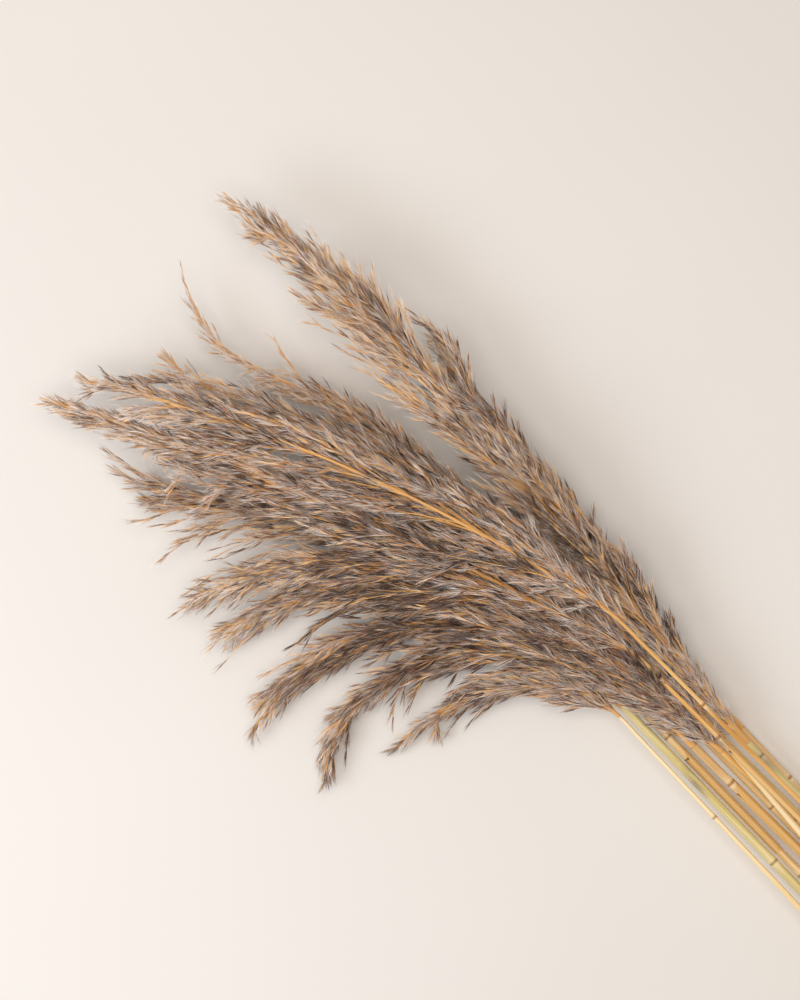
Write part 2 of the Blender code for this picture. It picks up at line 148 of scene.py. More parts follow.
room = bpy.data.worlds.new("bright_room")
room.use_nodes = True
room.node_tree.nodes["Background"].inputs["Color"].default_value = srgb(ROOM_COLOUR)
room.node_tree.nodes["Background"].inputs["Strength"].default_value = ROOM_STRENGTH
bpy.context.scene.world = room
bpy.context.scene.view_settings.view_transform = "Standard"

# Each lamp's place is how far left and up it is in the picture, and its height over the floor. Its
# power is in watts.
SOFT_LAMPS = (
    {"name": "overhead_lamp", "left": 60.0, "up": 40.0, "height": 1500.0, "size": 1000.0, "power": 11.6,
     "colour": "FFF1E6"},
    {"name": "side_lamp", "left": 450.0, "up": -200.0, "height": 600.0, "size": 480.0, "power": 2.4,
     "colour": "F8F8FA"},
)


def hang_lamp(name, left, up, height, size, power, colour):
    """A round soft lamp that faces the middle of the picture."""
    data = bpy.data.lights.new(name, "AREA")
    data.shape = "DISK"
    data.size = size * MM
    data.energy = power
    data.color = srgb(colour)[:3]
    lamp = bpy.data.objects.new(name, data)
    place = PICTURE_CENTRE - left * picture_right + up * picture_up
    lamp.location = (place[0] * MM, place[1] * MM, height * MM)
    lean_back = math.atan2(math.hypot(left, up), height)
    lean_way = math.atan2(*(PICTURE_CENTRE - place)[:2][::-1])
    lamp.rotation_euler = (0.0, -lean_back, lean_way)
    bpy.context.scene.collection.objects.link(lamp)


for soft_lamp in SOFT_LAMPS:
    hang_lamp(**soft_lamp)


# Reed stems
# Twelve culms of common reed, a hollow woody grass with a joint every 80 mm or so, cut and dried.
# Each runs from its cut end through the tie to its plume, and keeps the CAD stem's line.
# The measures and lines down to REEDS are the CAD's. They start from the bundle's waist, on the floor.
WAIST_TO_MIDDLE = np.array([40.9, 45.2, 0.0])
WAIST_TO_TIE = 170.0
STRAIGHT_PAST_WAIST = 45.0
STRAIGHT_TO_PLUME = 12.0
TIE_TO_CUT_END = 120.0
CUT_END_SCATTER = 7.0
CUT_END_SWING = 2.4
CUT_END_FAN = 1.12
STEM_WIDTH = 4.6
TWINE_WIDTH = 2.0
TWINE_CLEARANCE = 0.5
TWINE_PRESSED = 0.2
TIE_PITCH = 5.0
TIE_ROW_HEIGHT = TIE_PITCH * math.sqrt(3.0) / 2.0
TIE_MIDDLE_Y = -2.0
TIE_LOWEST = STEM_WIDTH / 2.0 + TWINE_CLEARANCE + TWINE_WIDTH - TWINE_PRESSED
TIE_HOLD = 12.0
JOINT_SPACING = 84.0
PATH_STEPS = 12
STALK_STEPS = 60
STALK_SPANS = 8

# Row and place in the tie, y and z at the waist, x, y and z where the plume starts, the stem's width
# there, the way down to its first joint, then the plume's length, its headings at base and tip, how
# late it turns, the height of its tip, its arch and its girth. The last column is the stem's finish.
Reed = namedtuple(
    "Reed", "tie_row tie_place waist base width joint length heading late tip_z arch girth straw"
)
REEDS = (
    Reed(2, 1.0, (17.0, 15.5), (94, 14.3, 16), 2.0, 60, 106, (-9, 88), 0.6, 8, 2, 8, "pale"),
    Reed(1, 1.5, (11.6, 8.6), (96, 10.0, 10), 3.8, 95, 166, (12, 132), 1.5, 9, 3, 14, "olive"),
    Reed(0, 1.0, (6.6, 4.0), (86, 5.5, 6), 3.4, 14, 203, (4, 111), 1.4, 9, 6, 16, "tan"),
    Reed(1, 0.5, (0.0, 8.8), (62, 0.5, 13), 3.6, 23, 236, (-1, 80), 1.4, 15, 9, 17, "brown"),
    Reed(1, -0.5, (-9.0, 12.3), (52, -6.5, 17), 2.6, 44, 262, (4, 78), 1.8, 22, 16, 18, "gold"),
    Reed(0, 0.0, (-4.8, 4.5), (66, -5.0, 7), 2.8, 48, 273, (-10, 45), 0.7, 12, 5, 18, "tan"),
    Reed(3, 0.5, (-9.5, 25.0), (107, -9.5, 33), 2.6, 48, 282, (16, 27), 1.0, 28, 12, 17, "gold"),
    Reed(3, -0.5, (-15.0, 27.0), (126, -14.5, 43), 2.4, 52, 256, (10, 32), 1.0, 40, 16, 17, "gold"),
    Reed(2, 0.0, (-5.5, 16.0), (56, -10.0, 23), 2.8, 65, 298, (-5, 29), 1.0, 28, 6, 17, "pale"),
    Reed(0, -1.0, (-11.0, 5.6), (62, -11.0, 12), 2.8, 58, 259, (2, 26), 3.5, 20, 2, 13, "tan"),
    Reed(2, -1.0, (-16.5, 16.5), (47, -17.0, 18), 3.0, 8, 329, (-5, 8), 2.5, 34, 8, 18, "olive"),
    Reed(1, -1.5, (-18.5, 6.5), (52, -20.0, 8), 2.8, 30, 219, (4, -12), 0.5, 14, 5, 12, "brown"),
)


def lean(points, i):
    """Which way a smooth curve passes point i."""
    step_in = np.linalg.norm(points[i] - points[i - 1])
    step_out = np.linalg.norm(points[i + 1] - points[i])
    slope_in = (points[i] - points[i - 1]) / step_in
    slope_out = (points[i + 1] - points[i]) / step_out
    return (slope_in * step_out + slope_out * step_in) / (step_in + step_out)


def smooth_path(points, steps):
    """A smooth curve through the points, with that many steps from one point to the next."""
    points = np.array(points, dtype=float)
    before = 2.0 * points[0] - points[1]
    after = 2.0 * points[-1] - points[-2]
    padded = np.vstack([before, points, after])
    t = (np.arange(steps) / steps)[:, None]
    curve = []
    for i in range(1, len(padded) - 2):
        span = np.linalg.norm(padded[i + 1] - padded[i])
        start = padded[i] * (2 * t**3 - 3 * t**2 + 1) + lean(padded, i) * span * (t**3 - 2 * t**2 + t)
        end = padded[i + 1] * (3 * t**2 - 2 * t**3) + lean(padded, i + 1) * span * (t**3 - t**2)
        curve.append(start + end)
    curve.append(points[-1:])
    return np.vstack(curve)


def stalk_points(reed):
    """Points along the plume's stalk, which turns from its first heading to its last."""
    along = (np.arange(STALK_STEPS) + 0.5) / STALK_STEPS
    turn = reed.heading[1] - reed.heading[0]
    heading = np.radians(reed.heading[0] + turn * along**reed.late)
    step = reed.length / STALK_STEPS
    x = reed.base[0] + np.concatenate([[0.0], np.cumsum(np.cos(heading) * step)])
    y = reed.base[1] + np.concatenate([[0.0], np.cumsum(np.sin(heading) * step)])
    share = np.arange(STALK_STEPS + 1) / STALK_STEPS
    rise = (reed.tip_z - reed.base[2]) * share + reed.arch * np.sin(math.pi * share)
    stalk = np.stack([x, y, reed.base[2] + rise], axis=1)
    keep = np.linspace(0, STALK_STEPS, STALK_SPANS + 1).round().astype(int)
    return stalk[keep]


def tie_point(reed):
    """Where the reed's stem passes through the tie."""
    y = TIE_MIDDLE_Y + reed.tie_place * TIE_PITCH
    return np.array([-WAIST_TO_TIE, y, TIE_LOWEST + reed.tie_row * TIE_ROW_HEIGHT])


def straight_points(reed):
    """Points along the stem's straight part: where it bends to the tie, the waist, near the plume."""
    waist = np.array([0.0, *reed.waist])
    slope = (np.array(reed.base) - waist) / reed.base[0]
    bend = waist - slope * STRAIGHT_PAST_WAIST
    bend[2] = waist[2] + (tie_point(reed)[2] - waist[2]) * STRAIGHT_PAST_WAIST / WAIST_TO_TIE
    return [bend, waist, np.array(reed.base) - slope * STRAIGHT_TO_PLUME]


def reed_paths(reed, index):
    """The reed's middle line, cut where its plume starts: the stem's part and the stalk's part."""
    scatter = CUT_END_SCATTER * math.sin(CUT_END_SWING * index)
    end_y = TIE_MIDDLE_Y + reed.tie_place * TIE_PITCH * CUT_END_FAN
    end_z = STEM_WIDTH / 2.0 + reed.tie_row * TIE_ROW_HEIGHT * CUT_END_FAN
    hold = np.array([TIE_HOLD, 0.0, 0.0])
    points = [(-WAIST_TO_TIE - TIE_TO_CUT_END - scatter, end_y, end_z)]
    points.extend([tie_point(reed) - hold, tie_point(reed) + hold, *straight_points(reed)])
    join = len(points) * PATH_STEPS
    points.extend(stalk_points(reed))
    curve = smooth_path(points, PATH_STEPS) - WAIST_TO_MIDDLE
    return curve[:join + 1], curve[join:]


def unit(vectors):
    """The vectors at length 1."""
    return vectors / np.maximum(np.linalg.norm(vectors, axis=-1, keepdims=True), 1e-9)


class Line:
    """A path that is read at many distances at once, and past its end."""

    def __init__(self, points, past_end=120.0):
        self.length = np.linalg.norm(np.diff(points, axis=0), axis=1).sum()
        self.points = np.vstack([points, points[-1] + unit(points[-1] - points[-2]) * past_end])
        steps = np.linalg.norm(np.diff(self.points, axis=0), axis=1)
        self.far = np.concatenate([[0.0], np.cumsum(steps)])
        self.slopes = unit(np.gradient(self.points, axis=0))

    def at(self, distances):
        """Points at these distances."""
        return np.stack([np.interp(distances, self.far, self.points[:, k]) for k in range(3)], -1)

    def ahead(self, distances):
        """Which way the path goes at these distances."""
        slopes = [np.interp(distances, self.far, self.slopes[:, k]) for k in range(3)]
        return unit(np.stack(slopes, -1))

    def across(self, distances):
        """Two directions square to the path: to its left, and up."""
        ahead = self.ahead(distances)
        left = unit(np.cross([0.0, 0.0, 1.0], ahead))
        return left, np.cross(ahead, left)


def ring_faces(rings, sides, first=0):
    """Four-sided faces that join rings of points round a tube."""
    low = first + np.arange(rings - 1)[:, None] * sides + np.arange(sides)[None, :]
    low_next = first + np.arange(rings - 1)[:, None] * sides + (np.arange(sides)[None, :] + 1) % sides
    return np.stack([low, low_next, low_next + sides, low + sides], -1).reshape(-1, 4)


def give(piece, name, vectors):
    """Stores a vector for each point of the piece."""
    layer = piece.data.attributes.new(name, "FLOAT_VECTOR", "POINT")
    layer.data.foreach_set("vector", np.asarray(vectors, np.float32).ravel())


# Dried reed culm: a hard waxy skin over straw, so a soft gloss along fine lengthwise streaks. A joint
# is a dark line over a pale ring, some have a grey-blue bloom, and old leaf sheaths are dull and tan.
# The hollow at the cut end is painted darker deeper in: painted shade.
STREAK_WIDTH = 0.35
STREAK_LENGTH = 60.0
STREAK_RELIEF = 0.2
PATCH_WIDTH = 4.0
PATCH_LENGTH = 38.0
RIB_WIDTH = 0.5
RIB_LENGTH = 240.0
STRAW_ROUGHNESS = (0.52, 0.36)
SHEATH_TONES = ((0.3, "BA8C4E"), (0.5, "DEB46E"), (0.7, "F0CE92"))
JOINT_RING = "FBE9C2"
JOINT_SCAR_AND_HOLLOW_SHADE = "7A5636"
BLOOM_GREY = "5A5560"
# Each finish: its streaks' darkest, middle and lightest tone.
STRAW_COLOURS = {
    "gold": ("C48A3E", "E4B060", "F8D490"),
    "pale": ("E8C280", "F9DEA4", "FFF0CC"),
    "tan": ("D0A664", "EECC8C", "FDE6B4"),
    "brown": ("B88E5A", "DCB478", "F0D29E"),
    "olive": ("BFAF66", "E0D292", "F4E9B4"),
}


def long_grain(tree, place, across, along, detail):
    """Noise whose grains are that wide and that long, in mm, on a straightened stem or twine."""
    scale = (1.0 / across, 1.0 / across, 1.0 / along)
    mapped = add_node(tree, "ShaderNodeMapping", [("Vector", place), ("Scale", scale)])
    links = [("Vector", mapped.outputs["Vector"]), ("Scale", 1.0), ("Detail", detail)]
    return add_node(tree, "ShaderNodeTexNoise", links).outputs["Fac"]


def lay_over(tree, under, over, mask, low, high, most=1.0):
    """Lays a colour over another, none of it where the mask is low and this most where it is high."""
    links = [("Value", mask), ("From Min", low), ("From Max", high), ("To Max", most)]
    share = add_node(tree, "ShaderNodeMapRange", links).outputs["Result"]
    links = [(0, share), (6, under), (7, over)]
    return add_node(tree, "ShaderNodeMix", links, data_type="RGBA").outputs[2]


def straw_material(name, tones):
    """Dried reed culm in one of its finishes, with its joints, bloom and leaf sheaths, and painted shade in
    the hollow at its cut end.
    """
    material, tree, shader = new_material(name, {"Roughness": 0.42, "IOR": 1.5, "Specular IOR Level": 0.5})
    place = add_node(tree, "ShaderNodeAttribute", attribute_name="culm").outputs["Vector"]
    marks = add_node(tree, "ShaderNodeAttribute", attribute_name="marks").outputs["Vector"]
    joint, bloom, sheath = add_node(tree, "ShaderNodeSeparateXYZ", [("Vector", marks)]).outputs
    streaks = long_grain(tree, place, STREAK_WIDTH, STREAK_LENGTH, 3.0)
    patches = long_grain(tree, place, PATCH_WIDTH, PATCH_LENGTH, 2.0)
    ribs = long_grain(tree, place, RIB_WIDTH, RIB_LENGTH, 2.0)

    dark, middle, light = tones
    stops = [(0.3, dark), (0.52, middle), (0.74, light)]
    straw = add_node(tree, "ShaderNodeValToRGB", [("Fac", streaks)], stops).outputs["Color"]
    old_leaf = add_node(tree, "ShaderNodeValToRGB", [("Fac", ribs)], SHEATH_TONES).outputs["Color"]
    colour = lay_over(tree, straw, srgb(light), patches, 0.42, 0.72, 0.65)
    colour = lay_over(tree, colour, old_leaf, sheath, 0.0, 1.0)
    colour = lay_over(tree, colour, srgb(JOINT_RING), joint, 0.0, -1.0, 0.8)
    # This scar colour also darkens the hollow at the cut end: painted shade.
    colour = lay_over(tree, colour, srgb(JOINT_SCAR_AND_HOLLOW_SHADE), joint, 0.0, 1.0, 0.85)
    colour = lay_over(tree, colour, srgb(BLOOM_GREY), patches, 0.35, 0.55, bloom)
    tree.links.new(colour, shader.inputs["Base Color"])

    rough, glossy = STRAW_ROUGHNESS
    links = [("Value", streaks), ("To Min", rough), ("To Max", glossy)]
    gloss = add_node(tree, "ShaderNodeMapRange", links)
    tree.links.new(gloss.outputs["Result"], shader.inputs["Roughness"])
    grooves = add_node(tree, "ShaderNodeMath", [(0, streaks), (1, ribs)], operation="ADD").outputs["Value"]
    links = [("Height", grooves), ("Strength", 0.3), ("Distance", STREAK_RELIEF * MM)]
    relief = add_node(tree, "ShaderNodeBump", links)
    tree.links.new(relief.outputs["Normal"], shader.inputs["Normal"])
    return material


straws = {name: straw_material(f"dried_reed_culm_{name}", tones) for name, tones in STRAW_COLOURS.items()}

STEM_SIDES = 18
STEM_STEP = 5.0
STEM_GAP = 0.15
STEM_EASE = 1.6
# Which stems are a little slimmer at the top than the CAD's, and by what share of it.
SLIM_STEMS = {7: 0.72, 8: 0.66, 1: 0.85}
STEM_SEED = 90
# The hollow at the cut end, from its floor out: each ring's depth and radius, and how dark it is painted.
# The darkness deepens into the hollow: painted shade.
HOLLOW_RINGS = ((14.0, 0.05, 0.9), (14.0, 1.5, 0.8), (0.0, 1.5, 0.3))
LOWEST_JOINT = 24.0
# Round a joint: distance from it, how much wider the stem is there, and how dark (1) or pale (-1).
JOINT_SHAPE = (
    (-9.0, 0.0, 0.0), (-3.0, 0.02, -0.3), (-1.1, 0.1, -0.9), (-0.5, 0.2, 0.3), (0.0, 0.1, 0.9),
    (0.5, 0.2, 0.4), (1.3, 0.12, -0.5), (4.0, 0.04, -0.2), (10.0, 0.0, 0.0),
)
# Which reeds have a bloom, and how far below the plume its middle is.
BLOOMS = {3: 7.0, 7: 48.0, 11: 10.0, 2: 45.0}
BLOOM_REACH = 7.0
BLOOM_STRENGTH = 1.3
# Which stretches below the plume an old leaf sheath still clasps. Its upper edge is torn.
SHEATHS = {3: (24.0, 84.0), 4: (25.0, 108.0), 7: (52.0, 140.0), 9: (70.0, 150.0), 10: (60.0, 140.0)}
# Every stem keeps one more, lower down, in five heights that take turns.
LOWER_SHEATH_TOP = 150.0
LOWER_SHEATH_LENGTH = 64.0
LOWER_SHEATH_STEP = 9.0
SHEATH_RINGS = 26
SHEATH_THICK = 0.22
SHEATH_ROOT = 3.0
# How far it stands off the stem at its root, just above it, and at its edge, in thicknesses.
SHEATH_STANDS_OFF = (0.15, 1.0, 1.3)
TORN_EDGE = 5.0
# Each stem's pattern is moved on by this, so that no two are alike.
GRAIN_SHIFT = 37.0


def tube_points(line, distances, radius, sides):
    """Rings of points round the path, and the same points on the straightened stem."""
    turns = 2.0 * math.pi * np.arange(sides) / sides
    left, up = line.across(distances)
    outward = np.cos(turns)[None, :, None] * left[:, None] + np.sin(turns)[None, :, None] * up[:, None]
    points = line.at(distances)[:, None] + radius[:, None, None] * outward
    flat = (radius[:, None] * np.cos(turns), radius[:, None] * np.sin(turns))
    straight = np.stack([*flat, np.repeat(distances[:, None], sides, 1)], -1)
    return points, straight


def top_width(reed):
    """How wide the stem is where the plume starts."""
    return reed.width * SLIM_STEMS.get(REEDS.index(reed) + 1, 1.0)


def stem_shape(reed, line, distances, joints):
    """The stem's radius at these distances, and how dark or pale its joints make it."""
    shape = np.array(JOINT_SHAPE)
    swell = np.zeros(len(distances))
    darkness = np.zeros(len(distances))
    for joint in joints:
        swell += np.interp(distances - joint, shape[:, 0], shape[:, 1], 0.0, 0.0)
        darkness += np.interp(distances - joint, shape[:, 0], shape[:, 2], 0.0, 0.0)
    from_tie = np.maximum(0.0, distances - TIE_TO_CUT_END) / (line.length - TIE_TO_CUT_END)
    wider_below = (STEM_WIDTH - top_width(reed)) * (1.0 - from_tie)**STEM_EASE
    return (top_width(reed) + wider_below) / 2.0 + swell, darkness


def build_sheath(reed, line, joints, low, high, draws):
    """A thin sleeve round the stem, tight at its root and torn at its upper edge."""
    distances = np.linspace(low, high, SHEATH_RINGS)
    radius, _ = stem_shape(reed, line, distances, joints)
    radius += SHEATH_THICK * np.interp(distances, [low, low + SHEATH_ROOT, high], SHEATH_STANDS_OFF)
    points, straight = tube_points(line, distances, radius, STEM_SIDES)
    turns = 2.0 * math.pi * np.arange(STEM_SIDES) / STEM_SIDES
    back = draws.uniform(0.0, TORN_EDGE, STEM_SIDES) + TORN_EDGE * np.cos(turns)
    points[-1] -= line.ahead(np.array([high])) * back[:, None]
    straight[-1, :, 2] -= back
    return points, straight


def build_stem(reed, line, name, number):
    """A jointed tube, open at its cut end, with the sheaths that are left on it."""
    draws = np.random.default_rng(STEM_SEED + number)
    end = line.length - STEM_GAP
    joints = np.arange(end - reed.joint, LOWEST_JOINT, -JOINT_SPACING)
    stations = [np.arange(0.0, end, STEM_STEP), [end]]
    stations.extend(joint + np.array(JOINT_SHAPE)[:, 0] for joint in joints)
    distances = np.unique(np.clip(np.concatenate(stations), 0.0, end).round(2))
    radius, darkness = stem_shape(reed, line, distances, joints)
    # The hollow's walls and floor get painted shade, darker deeper in.
    hollow = np.array(HOLLOW_RINGS)
    distances = np.concatenate([hollow[:, 0], distances])
    radius = np.concatenate([hollow[:, 1], radius])
    darkness = np.concatenate([hollow[:, 2], darkness])
    points, straight = tube_points(line, distances, radius, STEM_SIDES)
    parts = [(points, straight, darkness, 0.0)]
    stretches = []
    if number in SHEATHS:
        near, far = SHEATHS[number]
        stretches.append((end - far, end - near))
    lower = end - LOWER_SHEATH_TOP - LOWER_SHEATH_STEP * (number % 5)
    stretches.append((lower - LOWER_SHEATH_LENGTH, lower))
    for low, high in stretches:
        points, straight = build_sheath(reed, line, joints, low, high, draws)
        parts.append((points, straight, np.zeros(len(points)), 1.0))
    verts, culm, marks, faces = [], [], [], []
    count = 0
    for points, straight, darkness, sheath in parts:
        rings = len(points)
        faces.append(ring_faces(rings, STEM_SIDES, count))
        count += rings * STEM_SIDES
        verts.append(points.reshape(-1, 3))
        culm.append(straight.reshape(-1, 3))
        below = end - straight[:, :, 2].ravel()
        bloom = np.zeros(len(below))
        if number in BLOOMS:
            bloom = np.clip(BLOOM_STRENGTH - np.abs(below - BLOOMS[number]) / BLOOM_REACH, 0.0, 1.0)
        marks.append(np.stack([np.repeat(darkness, STEM_SIDES), bloom, np.full(len(below), sheath)], -1))
    stem = mesh_object(name, np.vstack(verts), np.vstack(faces), straws[reed.straw])
    give(stem, "culm", np.vstack(culm) + GRAIN_SHIFT * number)
    give(stem, "marks", np.vstack(marks))
    return stem


stem_lines = []
stalk_lines = []
for index, reed in enumerate(REEDS):
    stem_path, stalk_path = reed_paths(reed, index)
    stem_lines.append(Line(stem_path))
    stalk_lines.append(Line(stalk_path))

for index, reed in enumerate(REEDS):
    number = f"{index + 1:02d}"
    stem = build_stem(reed, stem_lines[index], f"reed_stem_{number}", index + 1)
    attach(stem, "root")
    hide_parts(f"stem_{number}")


# Plumes
# Each is the reed's flower head, grown on the end of its stem: a golden stalk with whorls of thin
# branches, which carry branchlets of narrow brown husks, each in a tuft of silky silver hairs.
PLUME_SEED = 40
# The CAD's: how thick a plume is along its stalk, as a share of its girth.
PLUME_PLACES = (0.0, 0.15, 0.35, 0.6, 0.8, 0.92, 1.0)
PLUME_GIRTHS = (0.3, 0.6, 1.0, 0.92, 0.72, 0.42, 0.1)
# Which plumes' hairs stand out a little past the CAD's sprays, and by what share of it.
MORE_GIRTH = {10: 1.25, 11: 1.22}
# The last stretch of a plume, where all its parts get smaller to the tip.
TIP_ZONE = 72.0
OTHER_TIP_ZONES = {11: 62.0, 12: 110.0}
TIP_THINNEST = 0.08
TIP_EASE = 1.2

# The stalk, which may be slimmer than the CAD's stem where it starts.
STALK_STATIONS = 70
STALK_SIDES = 8
STALK_PLACES = (0.0, 0.25, 1.0)
STALK_RADII_ABOVE = (0.75, 0.25)
STALK_TONE = 0.7

# Branches sit in whorls, two at a time on one side, and each pair turns on by the golden angle. Turns
# are in radians. Pairs of numbers, here and below, are the least and the most of a random draw.
BRANCHES_PER_MM = 0.27
BRANCH_PAIR = 2
BRANCH_CROWDING = 1.15
WHORL_SPACING = 13.0
WHORL_SCATTER = 1.6
LAST_BRANCH = 0.95
BRANCH_LONG = 100.0
SHORTEST_BRANCH = 8.0
FULL_STALK = 230.0
LENGTHS = (0.5, 1.1)
SHARES_OF_REST = (0.35, 0.9)
LENGTHS_IN_PAIR = (0.85, 1.0)
GOLDEN_ANGLE = math.radians(137.508)
PAIR_TURNS = (-0.3, 0.3)
OWN_TURNS = (-0.2, 0.2)
SPREADS = (0.03, 1.0)
SPREAD_EASE = 0.6
SPREADS_IN_PAIR = (0.9, 1.0)
LOOSE_SHARE = 0.2
LOOSE_SPREAD = 1.25
BRANCH_POINTS = 10
BRANCH_HUG = 1.4
BRANCH_RADIUS = 0.22
MORE_RADIUS_BELOW = 0.12
BRANCH_TAPER = 0.35
BRANCH_TONES = (0.35, 1.0)
TWIG_SIDES = 3
# A direction that no twig keeps to, from which its two sides are found.
ASKEW = np.array([0.13, 0.21, 0.97])
WANDER = 1.2
SAG = 16.0
# The room that a branch's own spikelets take inside the plume's girth, and the least that is left.
SPIKELET_REACH = 3.0
LEAST_REACH = 1.0
ROOM_EASE = 0.25
# A branch reaches out less until it is clear of the other plumes' stalks and of the stems.
REACHES_TRIED = (1.0, 0.82, 0.66, 0.5, 0.36)
LEAST_REACH_KEPT = 0.25
NEARER_OTHER_STALK = 7.0
OVER_STEMS = 5.0
FIRST_POINT_TESTED = 4
STEM_POINTS_TESTED = 40
# Some plumes have a tuft of short branches low on the stalk.
BASE_TUFTS = (5,)
BASE_BRANCHES = 16
BASE_REACH = 26.0
BASE_LENGTHS = (16.0, 34.0)
BASE_OVER_STEMS = 2.6
# Some plumes show their stalk from above. Up to this share of it, this angle over it stays open.
STALK_ON_TOP = (8,)
OPEN_TOP = 2.3
OPEN_SHARE = 0.75

# Branchlets and spikelets. Real awns and hairs are finer. These are as coarse as they need to be to show.
BRANCHLETS = 14
BRANCHLET_LONG = 15.0
BRANCHLET_SHORT = 2.5
BRANCHLET_RADII = (0.18, 0.15, 0.08)
BRANCHLET_LENGTHS = (0.7, 1.2)
BRANCHLET_PLACES = (-0.03, 0.03)
BRANCHLET_LEANS = (3.0, 14.0)
BRANCHLET_BEND = 0.1
BRANCHLET_TONES = (0.3, 1.0)
BRANCH_BARE = 0.14
LONG_BARE = 0.45
LONG_BARE_SHARE = 0.25
LEAN_AT_TIP = 0.4
SPIKELETS = 5
FIRST_SPIKELET = 0.7
SPIKELET_PLACES = (-0.08, 0.08)
SPIKELET_LEANS = (3.0, 13.0)
SPIKELET_SIZES = (0.75, 1.15)
SIZE_AT_TIP = 0.55
CLOSED_AT_TIP = 0.6
# The share of spikelets that are left near the plume's tip, and out along each branch.
KEPT_AT_TIP = 0.25
KEPT_FROM = 1.35
KEPT_LEAST = 0.4
HUSKS = 3
HUSK_LENGTH = 7.6
HUSK_LENGTHS = (0.75, 1.1)
HUSK_BELLY = 0.4
HUSK_WIDTH = 0.66
HUSK_STEP = 1.8
HUSK_LEANS = (2.0, 9.0)
AWN_LENGTH = 10.0
AWN_LENGTHS = (0.7, 1.1)
AWN_TONES = (0.4, 1.0)
AWN_WIDTH = 0.22
AWN_LEANS = (1.0, 8.0)
HAIRS = 9
HAIR_LENGTH = 8.5
HAIR_LENGTHS = (0.6, 1.1)
HAIR_WIDTH = 0.24
HAIR_ROOTS = (0.0, 5.0)
HAIR_LEANS = (3.0, 18.0)
FLOOR_GAP = 0.4

# Tones go from 0, dark, to 1, light. A plume is painted lighter toward its tip, which lies toward the side
# lamp
# at picture left: painted light. It is silvery at its base, and painted silvery at its branches' tips as
# painted light shining through the fringe.
HUSK_TONE = 0.42
HAIR_TONE = 0.4
TONE_SCATTER = 0.36
BRANCH_SCATTER = 0.3
BRANCH_DARKEST = -0.4
BRANCH_LIGHTEST = 0.5
SPIKELET_SCATTER = 0.15
PAINTED_LIGHT_UP_PLUME = 0.9
PAINTED_LIGHT_FROM = 0.48
PAINTED_LIGHT_AT_TIP = 0.2
SILVER_AT_BASE = 0.9
BASE_TUFT = 18.0
# How much more golden or silvery a plume is than most.
MORE_GOLD = {11: 0.16, 12: 0.02, 10: 0.05, 8: -0.04, 7: -0.06, 5: -0.04}
MORE_SILVER = {7: 0.34, 8: 0.44, 9: 0.52, 10: 0.5, 11: 0.46}

# Single branches of each plume that stand away from it or fill a gap beside it: how far up the stalk
# each leaves it, and its tip from the waist.
STRAYS = {
    1: [(0.75, 144, 75, 8), (0.45, 142, 68, 8), (0.35, 138, 60, 9)],
    2: [
        (0.7, 176, 112, 9), (0.66, 168, 109, 9), (0.8, 164, 119, 9), (0.5, 164, 84, 10),
        (0.42, 162, 75, 10),
    ],
    3: [(0.78, 212, 121, 12), (0.62, 215, 107, 13)],
    4: [
        (0.8, 241, 119, 12), (0.7, 232, 118, 13), (0.9, 237, 109, 12), (0.55, 215, 99, 13),
        (0.5, 216, 88, 14),
    ],
    5: [
        (0.88, 262, 118, 18), (0.8, 251, 109, 18), (0.74, 266, 108, 22), (0.68, 265, 99, 24),
        (0.6, 255, 98, 24),
    ],
    6: [
        (0.72, 283, 108, 18), (0.62, 282, 97, 20), (0.7, 293, 96, 20), (0.8, 301, 101, 18),
        (0.88, 322, 93, 14), (0.84, 330, 90, 16), (0.8, 307, 88, 16), (0.5, 257, 81, 20),
        (0.56, 265, 90, 20), (0.44, 244, 74, 22), (0.6, 268, 93, 19), (0.66, 285, 91, 19),
        (0.5, 268, 84, 20),
    ],
    7: [(0.8, 355, 89, 26), (0.8, 311, 76, 30), (0.7, 299, 86, 28), (0.62, 284, 82, 30)],
    8: [(0.86, 355, 66, 34), (0.74, 326, 62, 34), (0.66, 304, 56, 38), (0.58, 283, 50, 42)],
    9: [(0.86, 348, 64, 34), (0.92, 341, 42, 34), (0.78, 319, 48, 34), (0.7, 297, 38, 36)],
    10: [
        (0.98, 364, 12, 24), (0.97, 357, 16, 24), (0.95, 348, 21, 22), (0.94, 339, 26, 20),
        (0.82, 316, 4, 26), (0.3, 170, -11, 26), (0.4, 200, -7, 28), (0.5, 226, -4, 28),
        (0.36, 205, -10, 28), (0.44, 222, -9, 28),
    ],
    11: [
        (0.75, 346, -33, 40), (0.7, 333, -37, 38), (0.7, 309, -42, 40), (0.38, 262, -16, 34),
        (0.32, 246, -16, 34), (0.2, 170, -12, 30), (0.26, 190, -12, 30), (0.3, 208, -13, 32),
        (0.5, 310, -11, 38), (0.44, 292, -12, 38), (0.38, 279, -12, 38), (0.34, 264, -12, 36),
        (0.6, 303, -43, 42), (0.54, 288, -44, 42), (0.66, 317, -40, 42), (0.7, 332, -39, 42),
        (0.64, 338, -19, 38), (0.28, 205, -17, 34), (0.32, 216, -19, 34), (0.36, 226, -18, 34),
        (0.26, 194, -17, 32),
    ],
    12: [(0.86, 271, -46, 16)],
}
# How many mm of the tip zone are left where a single branch ends, which sets how full it is.
STRAY_LEFT = 34.0
THIN_STRAY_LEFT = 8.0
THIN_STRAYS = (10,)

# In the map, tones lie side by side, and kinds over each other, each from its root up to its tip.
TWIG, HUSK, HAIR = range(3)
KINDS = 3
TONE_EDGE = 0.02
KIND_EDGE = 0.1
CORNER_SPREAD = 0.004


